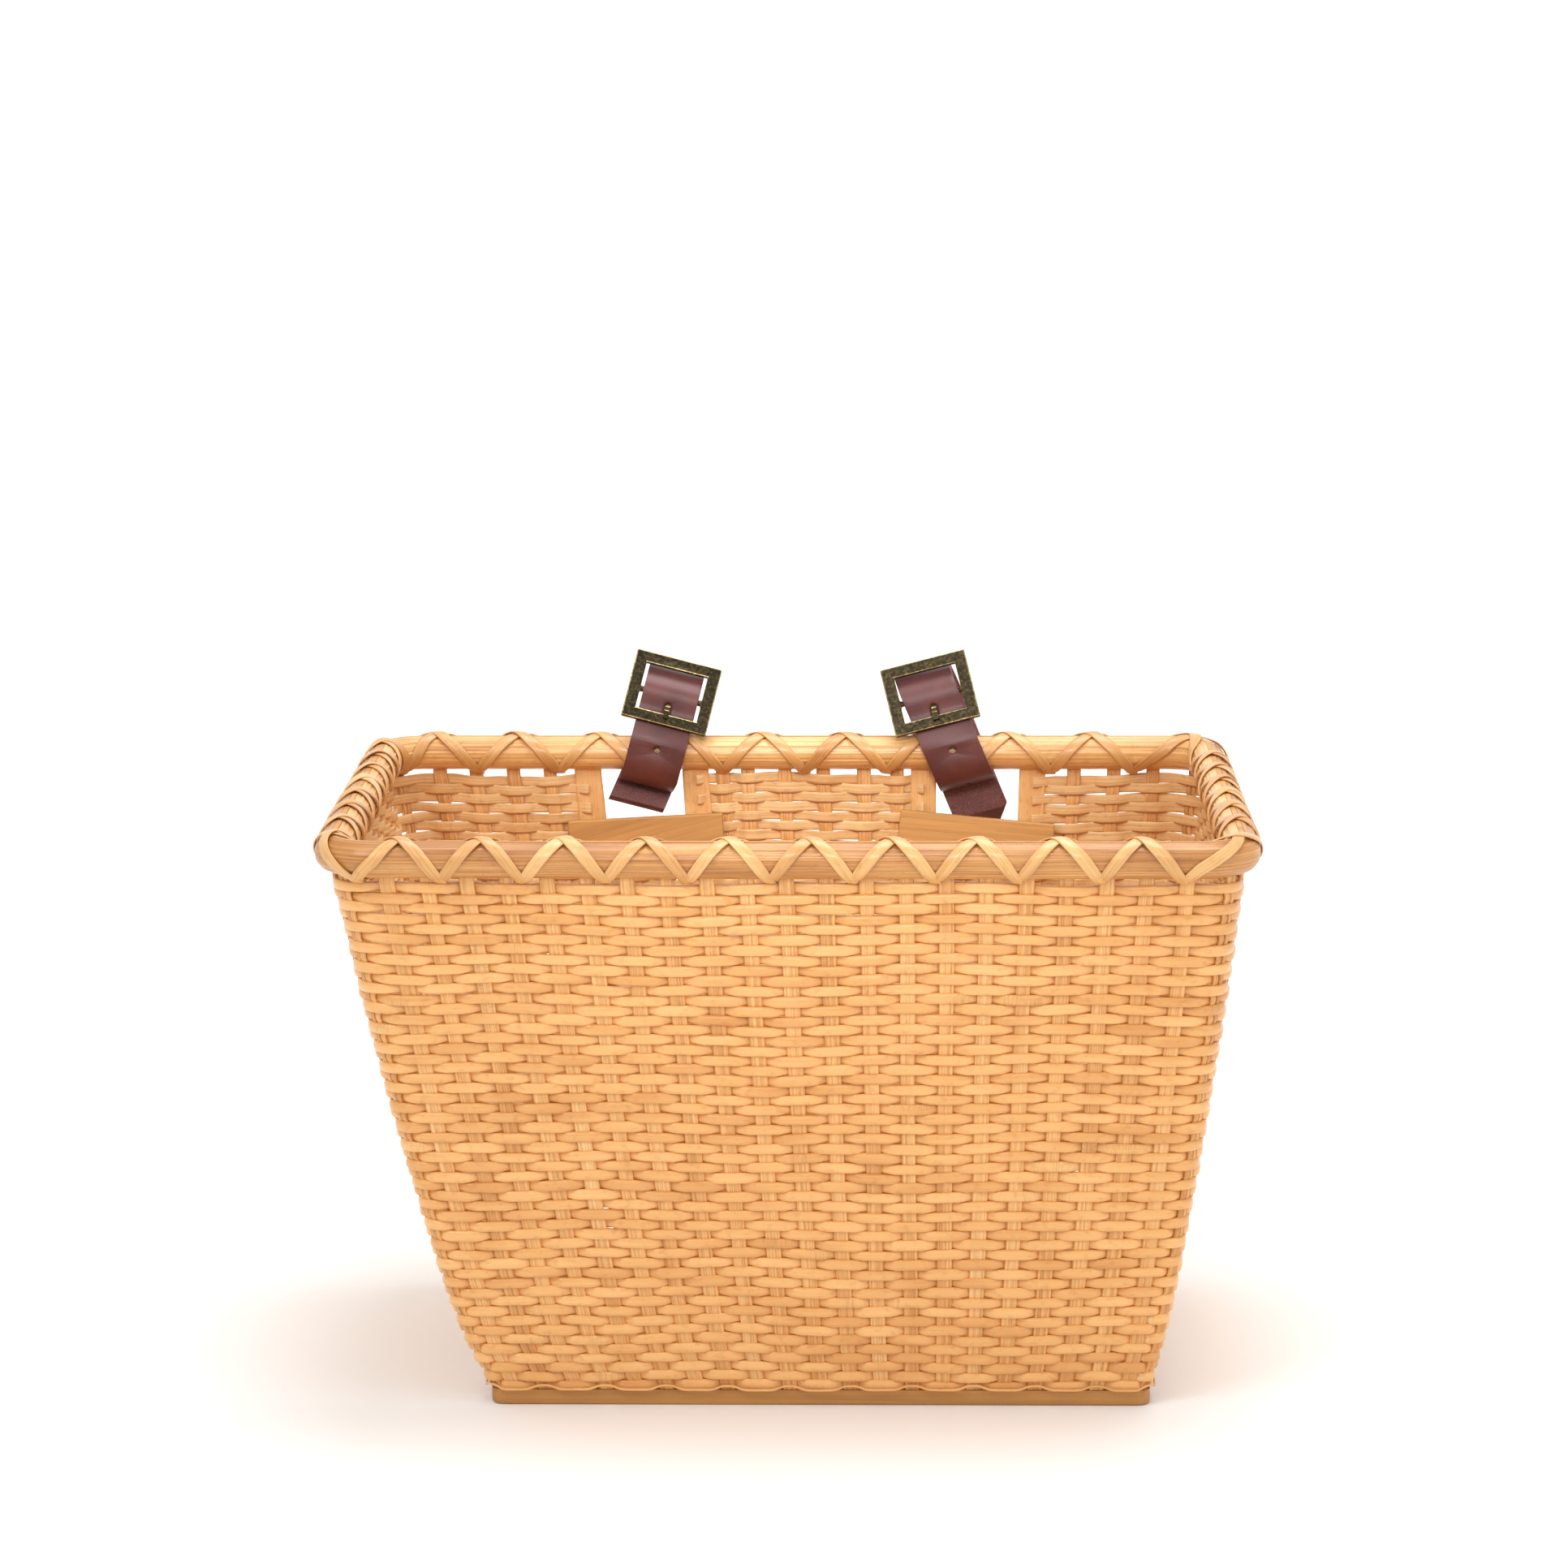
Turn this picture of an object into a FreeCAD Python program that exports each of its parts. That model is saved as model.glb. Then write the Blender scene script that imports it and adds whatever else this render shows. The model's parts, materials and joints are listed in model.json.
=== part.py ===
"""Woven cane handlebar basket with two buckled leather straps.

Frame: +Z up, origin at the centre of the base board's underside, the strap wall at +Y.
All sizes are in millimetres.
"""
import FreeCAD, Part
import math
import os

os.makedirs("parts", exist_ok=True)

V = FreeCAD.Vector

# ---------------------------------------------------------------- driving dimensions
BOARD_WIDTH = 252.0          # along X
BOARD_DEPTH = 176.0          # along Y
BOARD_THICKNESS = 6.0
BOARD_CORNER_R = 5.0
BOARD_EDGE_R = 1.2           # rounding of the board's lower edge

RIM_WIDTH = 355.0            # over the lashing, along X
RIM_DEPTH = 250.0            # over the lashing, along Y
RIM_TOP = 225.0              # top of the hoops above the board's underside
RIM_OFFSET_X = -12.0         # the mouth sits a little to the left of the board

STAKE_WIDTH = 5.8
STAKE_THICKNESS = 1.8
CORNER_STAKE_WIDTH = 5.0
CORNER_STAKE_THICKNESS = 1.5  # thinner, so that its flat face stays inside the hoops' bend
POST_WIDTH = 11.0            # the wide strips beside each window
WEAVE_THICKNESS = 4.8
FIT = 0.1                    # clearance between pieces that only touch
SLOT_DEPTH = 4.0             # how far the stakes stand in the board

HOOP_HEIGHT = 14.0
HOOP_THICKNESS = 6.1
LASH_WIDTH = 4.6
LASH_THICKNESS = 0.85
LASH_PITCH = 32.0            # distance between neighbouring lashing holes
SCARF_GAP = 0.4              # the open joint where a hoop's two ends meet
SCARF_TURN_DEG = 62.0        # of the scarf cut, from straight across the hoop
SCARF_PLACE = 0.58           # of the way from the middle of the front to its corner

RIM_CORNER_R = 17.0          # of the wall's middle surface, at the mouth
FOOT_CORNER_R = 4.0          # of the wall's middle surface, at the board
WALL_BOW = 0.75              # 1 is a straight wall, less bows it outwards

HANDLEBAR_R = 11.1
STRAP_WIDTH = 23.2
STRAP_THICKNESS = 2.7
STRAP_GAP = 0.1              # between one layer of strap and the next
STRAP_TILT_DEG = 14.6        # the handlebar rises away from its middle
STRAP_LEAN_DEG = {"left": 0.0, "right": 8.5}       # how much more the leather leans than its buckle
STRAP_X = {"left": -58.0, "right": 62.0}           # from the middle of the mouth
LEAN_FROM = 24.4             # height above the rim's axis where the lean is zero, at the buckle
TAIL_TURN_DEG = {"left": 11.0, "right": 0.0}       # how far the tail skews to the left below the rim
TAIL_FROM = -9.0             # height from the rim's axis where the tail starts to skew
CURLED_TAIL = 15.0           # straight end of the left strap, past its bend under the rim
HANGING_TAIL_R = 22.0        # bend of the right strap's free end
HANGING_TAIL_TURN = 1.11     # radians

# ---------------------------------------------------------------- derived dimensions
LASH_INNER_R = HOOP_THICKNESS + STAKE_THICKNESS / 2 + 0.25
LASH_OUTER_R = LASH_INNER_R + LASH_THICKNESS
RIM_AXIS_Z = RIM_TOP - HOOP_HEIGHT / 2
WEAVE_TOP = RIM_AXIS_Z - LASH_OUTER_R - 0.3
WEAVE_FOOT = BOARD_THICKNESS + FIT
STAKE_TOP = RIM_TOP - 4.0
MOUTH_HALF_X = RIM_WIDTH / 2 - LASH_OUTER_R
MOUTH_HALF_Y = RIM_DEPTH / 2 - LASH_OUTER_R
FOOT_INSET = 1.7             # from the board's edge to the wall's middle surface
FOOT_HALF_X = BOARD_WIDTH / 2 - FOOT_INSET
FOOT_HALF_Y = BOARD_DEPTH / 2 - FOOT_INSET
LEVELS = (0.0, 0.1, 0.25, 0.5, 0.75, 1.0)

MEMBER_PITCH = 14.8          # between stakes at the mouth, front and back
SIDE_PITCH = 14.6
FRONT_STAKES = tuple(MEMBER_PITCH * (k - 10) for k in range(21))
SIDE_STAKES = tuple(SIDE_PITCH * (k - 6.5) for k in range(14))

WINDOW_PITCH = 45.0          # between the two posts of a window
WINDOW_HEIGHT = 17.4
WINDOW_SILL = RIM_AXIS_Z - LASH_OUTER_R - WINDOW_HEIGHT
LEFT_WINDOW_X = -64.0        # from the middle of the mouth
RIGHT_WINDOW_X = 75.5
WINDOWS = {"left": LEFT_WINDOW_X, "right": RIGHT_WINDOW_X}
BACK_POSTS = tuple(x + side * WINDOW_PITCH / 2 for x in WINDOWS.values() for side in (-1, 1))
BACK_STAKES = (-148.0, -132.7, -117.4, -102.1, -30.6, -20.0, -4.7, 11.4, 28.0, 42.0, 115.0, 131.5, 148.0)
SILL_STAKES = tuple(x + side * MEMBER_PITCH / 2 for x in WINDOWS.values() for side in (-1, 1))

BLOCK_WIDTH = 64.0
BLOCK_HEIGHT = 20.0
BLOCK_THICKNESS = 6.0
BLOCK_TILT_DEG = {"left": 3.0, "right": -5.4}
BRAD_R = 0.7
BRAD_HEAD_R = 1.6
BRAD_HEAD_THICKNESS = 0.8
BRAD_DEPTH = 4.5             # how far a brad's point stands in the block
BRAD_HEAD_GAP = 0.2          # between the weave and the underside of a brad's head
BRAD_HOLE_GAP = 0.05


# ---------------------------------------------------------------- the wall's middle surface
def height_at(t):
    """Height of the wall at fraction t, from the board (0) to the top of the weave (1)."""
    return BOARD_THICKNESS + t * (WEAVE_TOP - BOARD_THICKNESS)


def fraction_at(z):
    """Fraction of the wall's height at height z, held within the wall."""
    return min(1.0, max(0.0, (z - BOARD_THICKNESS) / (WEAVE_TOP - BOARD_THICKNESS)))


def outline_at(z):
    """Centre X, half width, half depth and corner radius of the wall's middle at height z."""
    grow = fraction_at(z) ** WALL_BOW
    centre_x = RIM_OFFSET_X * grow
    half_x = FOOT_HALF_X + (MOUTH_HALF_X - FOOT_HALF_X) * grow
    half_y = FOOT_HALF_Y + (MOUTH_HALF_Y - FOOT_HALF_Y) * grow
    corner_r = FOOT_CORNER_R + (RIM_CORNER_R - FOOT_CORNER_R) * grow
    return centre_x, half_x, half_y, corner_r


def wall_point(wall, offset, out, z):
    """A point of a wall: offset is measured at the mouth, out is the distance outwards."""
    centre_x, half_x, half_y, corner_r = outline_at(z)
    if wall in ("front", "back"):
        x = centre_x + offset * (half_x - corner_r) / (MOUTH_HALF_X - RIM_CORNER_R)
        side = -1 if wall == "front" else 1
        return V(x, side * (half_y + out), z)
    y = offset * (half_y - corner_r) / (MOUTH_HALF_Y - RIM_CORNER_R)
    side = -1 if wall == "left" else 1
    return V(centre_x + side * (half_x + out), y, z)


def corner_centre(corner, z):
    """Centre of a corner's bend at height z, and the signs of its X and Y sides."""
    sign_x = -1 if "left" in corner else 1
    sign_y = -1 if "front" in corner else 1
    centre_x, half_x, half_y, corner_r = outline_at(z)
    centre = V(centre_x + sign_x * (half_x - corner_r), sign_y * (half_y - corner_r), z)
    return centre, sign_x, sign_y, corner_r


# ---------------------------------------------------------------- general helpers
def polygon(points):
    return Part.makePolygon(list(points) + [points[0]])


def ruled_solid(wires):
    return Part.makeLoft(wires, True, True)


def rounded_path(half_x, half_y, corner_r, z, centre_x=0.0):
    """Closed rounded rectangle as a wire of lines and arcs."""
    edges = []
    corners = ((1, 1, 0), (-1, 1, 90), (-1, -1, 180), (1, -1, 270))
    for index, (sign_x, sign_y, start_deg) in enumerate(corners):
        centre = V(centre_x + sign_x * (half_x - corner_r), sign_y * (half_y - corner_r), z)
        angles = [math.radians(start_deg + step) for step in (0, 45, 90)]
        points = [centre + V(corner_r * math.cos(a), corner_r * math.sin(a), 0) for a in angles]
        if index:
            edges.append(Part.LineSegment(last_point, points[0]).toShape())
        else:
            first_point = points[0]
        edges.append(Part.Arc(*points).toShape())
        last_point = points[2]
    edges.append(Part.LineSegment(last_point, first_point).toShape())
    return Part.Wire(edges)


def sweep_round_mouth(profile, path):
    return path.makePipeShell([profile], True, True)


def save(name, shape):
    if not shape.Solids or shape.Volume <= 0 or not shape.isValid():
        raise RuntimeError(name + " is not a valid solid shape")
    shape.exportStep("parts/" + name + ".step")
    print(f"{name:24s} solids {len(shape.Solids):3d}  volume {shape.Volume:10.1f}")


# ---------------------------------------------------------------- stakes and posts
def upright(wall, offset, width, thickness, low, high):
    """One straight-sided upright that follows the bowed wall from low to high."""
    heights = [low] if low < BOARD_THICKNESS else []
    heights += [height_at(t) for t in LEVELS if low < height_at(t) < high or height_at(t) == low]
    if not heights or heights[0] > low:
        heights.insert(0, low)
    heights.append(high)
    wires = []
    for z in heights:
        centre = wall_point(wall, offset, 0.0, z)
        along = V(width / 2, 0, 0) if wall in ("front", "back") else V(0, width / 2, 0)
        across = V(0, thickness / 2, 0) if wall in ("front", "back") else V(thickness / 2, 0, 0)
        wires.append(polygon([centre - along - across, centre + along - across,
                              centre + along + across, centre - along + across]))
    return ruled_solid(wires)


def corner_upright(corner, width, thickness, low, high):
    """The upright in the middle of a corner's bend."""
    heights = [low] if low < BOARD_THICKNESS else []
    heights += [height_at(t) for t in LEVELS if height_at(t) < high]
    heights.append(high)
    wires = []
    for z in heights:
        bend, sign_x, sign_y, corner_r = corner_centre(corner, z)
        outward = V(sign_x, sign_y, 0) * math.sqrt(0.5)
        sideways = V(-outward.y, outward.x, 0)
        centre = bend + outward * corner_r
        along = sideways * (width / 2)
        across = outward * (thickness / 2)
        wires.append(polygon([centre - along - across, centre + along - across,
                              centre + along + across, centre - along + across]))
    return ruled_solid(wires)


WALL_STAKES = {"front": FRONT_STAKES, "back": BACK_STAKES, "left": SIDE_STAKES, "right": SIDE_STAKES}
CORNERS = ("front_left", "front_right", "back_left", "back_right")
STAKE_FOOT = BOARD_THICKNESS - SLOT_DEPTH
SILL_STAKE_TOP = WINDOW_SILL - 2.0


def wall_uprights(wall, grown, foot):
    """Every upright of a wall as a list of solids; grown adds the same to width and thickness."""
    thickness = STAKE_THICKNESS + grown
    solids = [upright(wall, x, STAKE_WIDTH + grown, thickness, foot, STAKE_TOP + grown)
              for x in WALL_STAKES[wall]]
    if wall == "back":
        solids += [upright(wall, x, STAKE_WIDTH + grown, thickness, foot, SILL_STAKE_TOP + grown)
                   for x in SILL_STAKES]
        solids += [upright(wall, x, POST_WIDTH + grown, thickness, foot, STAKE_TOP + grown)
                   for x in BACK_POSTS]
    return solids


def brad_places(side):
    """Points on the wall's middle surface where a window's brads pass through its two posts."""
    window_x = WINDOWS[side]
    places = []
    for post in (-1, 1):
        offset = window_x + post * WINDOW_PITCH / 2
        for below in (6.0, 14.0):
            places.append(wall_point("back", offset, 0.0, WINDOW_SILL - below))
    return places


def brad(place, grown):
    """A brad driven from outside, or with grown above zero the headless hole it needs."""
    skin = WEAVE_THICKNESS / 2
    point_y = place.y - skin - BRAD_DEPTH - grown
    head_y = place.y + skin + BRAD_HEAD_GAP
    shank = Part.makeCylinder(BRAD_R + grown, head_y - point_y, V(place.x, point_y, place.z), V(0, 1, 0))
    if grown:
        return shank
    head = Part.makeCylinder(BRAD_HEAD_R, BRAD_HEAD_THICKNESS, V(place.x, head_y, place.z), V(0, 1, 0))
    return shank.fuse(head)


# ---------------------------------------------------------------- weave
def wall_slab(wall, offset_low, offset_high, low, high):
    """A stretch of woven wall between two offsets and two heights."""
    heights = [low] + [height_at(t) for t in LEVELS if low < height_at(t) < high] + [high]
    skin = WEAVE_THICKNESS / 2
    wires = []
    for z in heights:
        wires.append(polygon([wall_point(wall, offset_low, -skin, z), wall_point(wall, offset_high, -skin, z),
                              wall_point(wall, offset_high, skin, z), wall_point(wall, offset_low, skin, z)]))
    return ruled_solid(wires)


def corner_slab(corner):
    """The woven wall round one corner."""
    skin = WEAVE_THICKNESS / 2
    heights = [WEAVE_FOOT] + [height_at(t) for t in LEVELS[1:]]
    wires = []
    for z in heights:
        bend, sign_x, sign_y, corner_r = corner_centre(corner, z)

        def on_bend(radius, angle_deg):
            angle = math.radians(angle_deg)
            return bend + V(sign_x * radius * math.cos(angle), sign_y * radius * math.sin(angle), 0)

        outer = [on_bend(corner_r + skin, a) for a in (0, 45, 90)]
        inner = [on_bend(corner_r - skin, a) for a in (90, 45, 0)]
        wires.append(Part.Wire([Part.Arc(*outer).toShape(), Part.LineSegment(outer[2], inner[0]).toShape(),
                                Part.Arc(*inner).toShape(), Part.LineSegment(inner[2], outer[0]).toShape()]))
    return ruled_solid(wires)


def build_weave(channels):
    """All the woven stretches, each with open channels for its uprights."""
    end_x = MOUTH_HALF_X - RIM_CORNER_R - FIT
    end_y = MOUTH_HALF_Y - RIM_CORNER_R - FIT
    reach = WINDOW_PITCH / 2 + POST_WIDTH / 2 + FIT
    (left_low, left_high), (right_low, right_high) = [(x - reach, x + reach) for x in WINDOWS.values()]
    sill_gap = WINDOW_SILL + FIT
    pieces = {
        "weave_front": ("front", wall_slab("front", -end_x, end_x, WEAVE_FOOT, WEAVE_TOP)),
        "weave_left": ("left", wall_slab("left", -end_y, end_y, WEAVE_FOOT, WEAVE_TOP)),
        "weave_right": ("right", wall_slab("right", -end_y, end_y, WEAVE_FOOT, WEAVE_TOP)),
        "weave_back_lower": ("back", wall_slab("back", -end_x, end_x, WEAVE_FOOT, WINDOW_SILL)),
        "weave_back_left": ("back", wall_slab("back", -end_x, left_low, sill_gap, WEAVE_TOP)),
        "weave_back_middle": ("back", wall_slab("back", left_high, right_low, sill_gap, WEAVE_TOP)),
        "weave_back_right": ("back", wall_slab("back", right_high, end_x, sill_gap, WEAVE_TOP)),
    }
    for name, (wall, slab) in pieces.items():
        cutters = list(channels[wall])
        if name == "weave_back_lower":
            cutters += [brad(place, FIT) for side in WINDOWS for place in brad_places(side)]
        save(name, slab.cut(cutters))
    for corner in CORNERS:
        save("weave_corner_" + corner, corner_slab(corner).cut(channels[corner]))


# ---------------------------------------------------------------- board
def build_board(channels):
    plate_path = rounded_path(BOARD_WIDTH / 2, BOARD_DEPTH / 2, BOARD_CORNER_R, 0.0)
    plate = Part.Face(plate_path).extrude(V(0, 0, BOARD_THICKNESS))
    lower_edges = [edge for edge in plate.Edges if edge.BoundBox.ZMax < 0.01]
    plate = plate.makeFillet(BOARD_EDGE_R, lower_edges)
    cutters = [solid for solids in channels.values() for solid in solids]
    save("base_board", plate.cut(cutters))


def build_foot_strand():
    """The thin strand that runs round the foot of the weave, on its outside."""
    strand_r = 0.8
    z = BOARD_THICKNESS + strand_r + 0.5
    centre_x, half_x, half_y, corner_r = outline_at(z)
    out = WEAVE_THICKNESS / 2 + strand_r + FIT
    path = rounded_path(half_x + out, half_y + out, corner_r + out, z, centre_x)
    start = V(centre_x + half_x + out, half_y - corner_r, z)
    profile = Part.Wire(Part.Circle(start, V(0, 1, 0), strand_r).toShape())
    save("foot_strand", sweep_round_mouth(profile, path))


# ---------------------------------------------------------------- rim
def mouth_path():
    return rounded_path(MOUTH_HALF_X, MOUTH_HALF_Y, RIM_CORNER_R, RIM_AXIS_Z, RIM_OFFSET_X)


def path_start():
    """Where the mouth's path starts: on the right side, heading for the back."""
    return V(RIM_OFFSET_X + MOUTH_HALF_X, MOUTH_HALF_Y - RIM_CORNER_R, RIM_AXIS_Z)


def hoop(side):
    """A half-round hoop; side is +1 outside the wall and -1 inside it."""
    start = path_start()
    flat = side * (STAKE_THICKNESS / 2 + FIT)
    crown = side * (STAKE_THICKNESS / 2 + FIT + HOOP_THICKNESS)
    low = start + V(flat, 0, -HOOP_HEIGHT / 2)
    high = start + V(flat, 0, HOOP_HEIGHT / 2)
    profile = Part.Wire([Part.LineSegment(low, high).toShape(),
                         Part.Arc(high, start + V(crown, 0, 0), low).toShape()])
    ring = sweep_round_mouth(profile, mouth_path())
    scarf_x = RIM_OFFSET_X + SCARF_PLACE * MOUTH_HALF_X * side
    reach = 10.0
    scarf = Part.makeBox(SCARF_GAP, 2 * reach, 2 * HOOP_HEIGHT, V(-SCARF_GAP / 2, -reach, -HOOP_HEIGHT))
    scarf.rotate(V(0, 0, 0), V(0, 0, 1), SCARF_TURN_DEG)
    scarf.translate(V(scarf_x, -MOUTH_HALF_Y - flat - side * HOOP_THICKNESS / 2, RIM_AXIS_Z))
    return ring.cut(scarf)


def build_rim():
    save("rim_outer_hoop", hoop(1))
    save("rim_inner_hoop", hoop(-1))
    start = path_start()
    half = STAKE_THICKNESS / 2
    low = STAKE_TOP + FIT - RIM_AXIS_Z
    high = HOOP_HEIGHT / 2 + 0.05
    corners = [start + V(x, 0, z) for x, z in ((-half, low), (half, low), (half, high), (-half, high))]
    save("rim_filler", sweep_round_mouth(polygon(corners), mouth_path()))


def mouth_length():
    straight = 4 * (MOUTH_HALF_X - RIM_CORNER_R) + 4 * (MOUTH_HALF_Y - RIM_CORNER_R)
    return straight + 2 * math.pi * RIM_CORNER_R


def mouth_frame(distance):
    """Point and heading on the mouth's path, walking from the path's start."""
    quarter = math.pi / 2 * RIM_CORNER_R
    straight_x = 2 * (MOUTH_HALF_X - RIM_CORNER_R)
    straight_y = 2 * (MOUTH_HALF_Y - RIM_CORNER_R)
    distance = distance % mouth_length()
    for sign_x, sign_y, start_deg, straight in ((1, 1, 0, straight_x), (-1, 1, 90, straight_y),
                                                (-1, -1, 180, straight_x), (1, -1, 270, straight_y)):
        centre = V(RIM_OFFSET_X + sign_x * (MOUTH_HALF_X - RIM_CORNER_R),
                   sign_y * (MOUTH_HALF_Y - RIM_CORNER_R), RIM_AXIS_Z)
        if distance <= quarter:
            angle = math.radians(start_deg) + distance / RIM_CORNER_R
            outward = V(math.cos(angle), math.sin(angle), 0)
            return centre + outward * RIM_CORNER_R, V(-outward.y, outward.x, 0)
        distance -= quarter
        angle = math.radians(start_deg + 90)
        outward = V(math.cos(angle), math.sin(angle), 0)
        heading = V(-outward.y, outward.x, 0)
        if distance <= straight:
            return centre + outward * RIM_CORNER_R + heading * distance, heading
        distance -= straight
    raise RuntimeError("the mouth's path is shorter than its length")


def mouth_members():
    """Distance along the path and width of every upright that reaches the rim."""
    quarter = math.pi / 2 * RIM_CORNER_R
    half_x = MOUTH_HALF_X - RIM_CORNER_R
    half_y = MOUTH_HALF_Y - RIM_CORNER_R
    back_start = quarter
    left_start = back_start + 2 * half_x + quarter
    front_start = left_start + 2 * half_y + quarter
    right_start = front_start + 2 * half_x + quarter
    members = [(back_start + half_x - x, STAKE_WIDTH) for x in BACK_STAKES]
    members += [(back_start + half_x - x, POST_WIDTH) for x in BACK_POSTS]
    members += [(left_start + half_y - y, STAKE_WIDTH) for y in SIDE_STAKES]
    members += [(front_start + half_x + x, STAKE_WIDTH) for x in FRONT_STAKES]
    members += [(right_start + half_y + y, STAKE_WIDTH) for y in SIDE_STAKES]
    starts = (back_start, left_start, front_start, right_start)
    members += [(start - quarter / 2, STAKE_WIDTH) for start in starts]
    return sorted(members)


def lashing_holes():
    """Where the lashing passes under the hoops: in the gaps between uprights, about evenly."""
    members = mouth_members()
    gaps = []
    for (here, width), (there, next_width) in zip(members, members[1:] + [(members[0][0] + mouth_length(),
                                                                          members[0][1])]):
        low = here + width / 2
        high = there - next_width / 2
        if high - low > 1.6 * LASH_WIDTH:
            gaps.append((low, high))
    count = round(mouth_length() / LASH_PITCH)
    margin = 0.9 * LASH_WIDTH
    holes = []
    for index in range(count):
        ideal = (index + 0.5) * mouth_length() / count
        low, high = min(gaps, key=lambda gap: abs((gap[0] + gap[1]) / 2 - ideal) - (gap[1] - gap[0]) / 2)
        middle = (low + high) / 2
        reach = max(0.0, (high - low) / 2 - margin)
        hole = min(middle + reach, max(middle - reach, ideal))
        if not holes or hole - holes[-1] > LASH_PITCH / 3:
            holes.append(hole)
    return holes


def lash_slab(start, end, climb):
    """A tilted slab across the rim: from a hole below to a crossing above, or back down."""
    centre, heading = mouth_frame((start + end) / 2)
    run = heading * (end - start) + V(0, 0, climb * 2 * LASH_INNER_R)
    length = run.Length
    run.normalize()
    inward = V(-heading.y, heading.x, 0)
    normal = run.cross(inward)
    half_length = length / 2 + LASH_WIDTH
    reach = LASH_OUTER_R + 1.0
    corner = centre - run * half_length - inward * reach - normal * (LASH_WIDTH / 2)
    base = polygon([corner, corner + run * (2 * half_length),
                    corner + run * (2 * half_length) + inward * (2 * reach), corner + inward * (2 * reach)])
    return Part.Face(base).extrude(normal * LASH_WIDTH)


def build_lashing(channels):
    """The flat strand wound round both hoops, cut back where it passes the uprights."""
    start = path_start()
    outer = sweep_round_mouth(Part.Wire(Part.Circle(start, V(0, 1, 0), LASH_OUTER_R).toShape()), mouth_path())
    inner = sweep_round_mouth(Part.Wire(Part.Circle(start, V(0, 1, 0), LASH_INNER_R).toShape()), mouth_path())
    tube = outer.cut(inner)
    holes = lashing_holes()
    slabs = []
    for here, there in zip(holes, holes[1:] + [holes[0] + mouth_length()]):
        peak = (here + there) / 2
        slabs.append(lash_slab(here, peak, 1))
        slabs.append(lash_slab(peak, there, -1))
    uprights = [solid for solids in channels.values() for solid in solids]
    bands = []
    for slab in slabs:
        band = tube.common(slab)
        near = [solid for solid in uprights if solid.BoundBox.intersect(band.BoundBox)]
        bands.append(band.cut(near) if near else band)
    save("rim_lashing", bands[0].fuse(bands[1:]))


# ---------------------------------------------------------------- window blocks
def build_blocks():
    for side, window_x in WINDOWS.items():
        top_middle = wall_point("back", window_x, -WEAVE_THICKNESS / 2, WINDOW_SILL - 0.5)
        foot_middle = wall_point("back", window_x, -WEAVE_THICKNESS / 2, WINDOW_SILL - 0.5 - BLOCK_HEIGHT)
        lean = math.degrees(math.atan2(top_middle.y - foot_middle.y, BLOCK_HEIGHT))
        block = Part.makeBox(BLOCK_WIDTH, BLOCK_THICKNESS, BLOCK_HEIGHT,
                             V(-BLOCK_WIDTH / 2, -BLOCK_THICKNESS, -BLOCK_HEIGHT))
        block = block.makeFillet(0.8, block.Edges)
        block.rotate(V(0, 0, 0), V(0, 1, 0), -BLOCK_TILT_DEG[side])
        block.rotate(V(0, 0, 0), V(1, 0, 0), -lean)
        block.translate(top_middle - V(0, 3 * FIT, 0))
        brads = [brad(place, 0.0) for place in brad_places(side)]
        holes = [brad(place, BRAD_HOLE_GAP) for place in brad_places(side)]
        save("window_block_" + side, block.cut(holes))
        save("block_brads_" + side, Part.makeCompound(brads))


# ---------------------------------------------------------------- straps, buckles and prongs
RIM_CLEAR_R = LASH_OUTER_R + 0.4          # the strap's inner face round the rim
BAR_CLEAR_R = HANDLEBAR_R + 0.05          # the strap's inner face round the handlebar
BAR_BACK = 16.0                           # handlebar axis behind the rim's axis
BAR_ABOVE = 20.0                          # handlebar axis above the rim's axis
EYE_R = 2.6                               # the skived end of the strap round the centre bar
EYE_HOLE_R = 1.3
CENTRE_BAR_R = 1.2
CENTRE_BAR_DEPTH = -3.0                   # its axis below the back face of the frame
BUMP_HEIGHT = 2.6                         # how far the strap rises over the centre bar
BUMP_REACH = 9.0
FRAME_WIDTH = 36.0
FRAME_LENGTH = 30.0
FRAME_SIDE = 5.0
FRAME_END = 4.8
FRAME_THICKNESS = 2.2
PRONG_WIDTH = 2.2
PRONG_THICKNESS = 1.4
PUNCH_R = 1.75
EYE_SLOT = (-3.4, 3.2)                    # the slot in the eye that lets the prong through, along the strap
EYE_SLOT_DEPTHS = (-6.4, -0.3)
PRONG_SLOT_R = 1.9                        # half width and round end of the slot for the prong
PRONG_SLOT = (-9.4, -6.2)                 # from its open end to the middle of its round end
PRONG_SLOT_DEPTHS = (-3.6, 2.6)
REST_ANGLE = math.radians(-110)           # of the right strap's hole under the rim
TIP_CHAMFER = 7.0                         # across the hanging tip, at each corner


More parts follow.
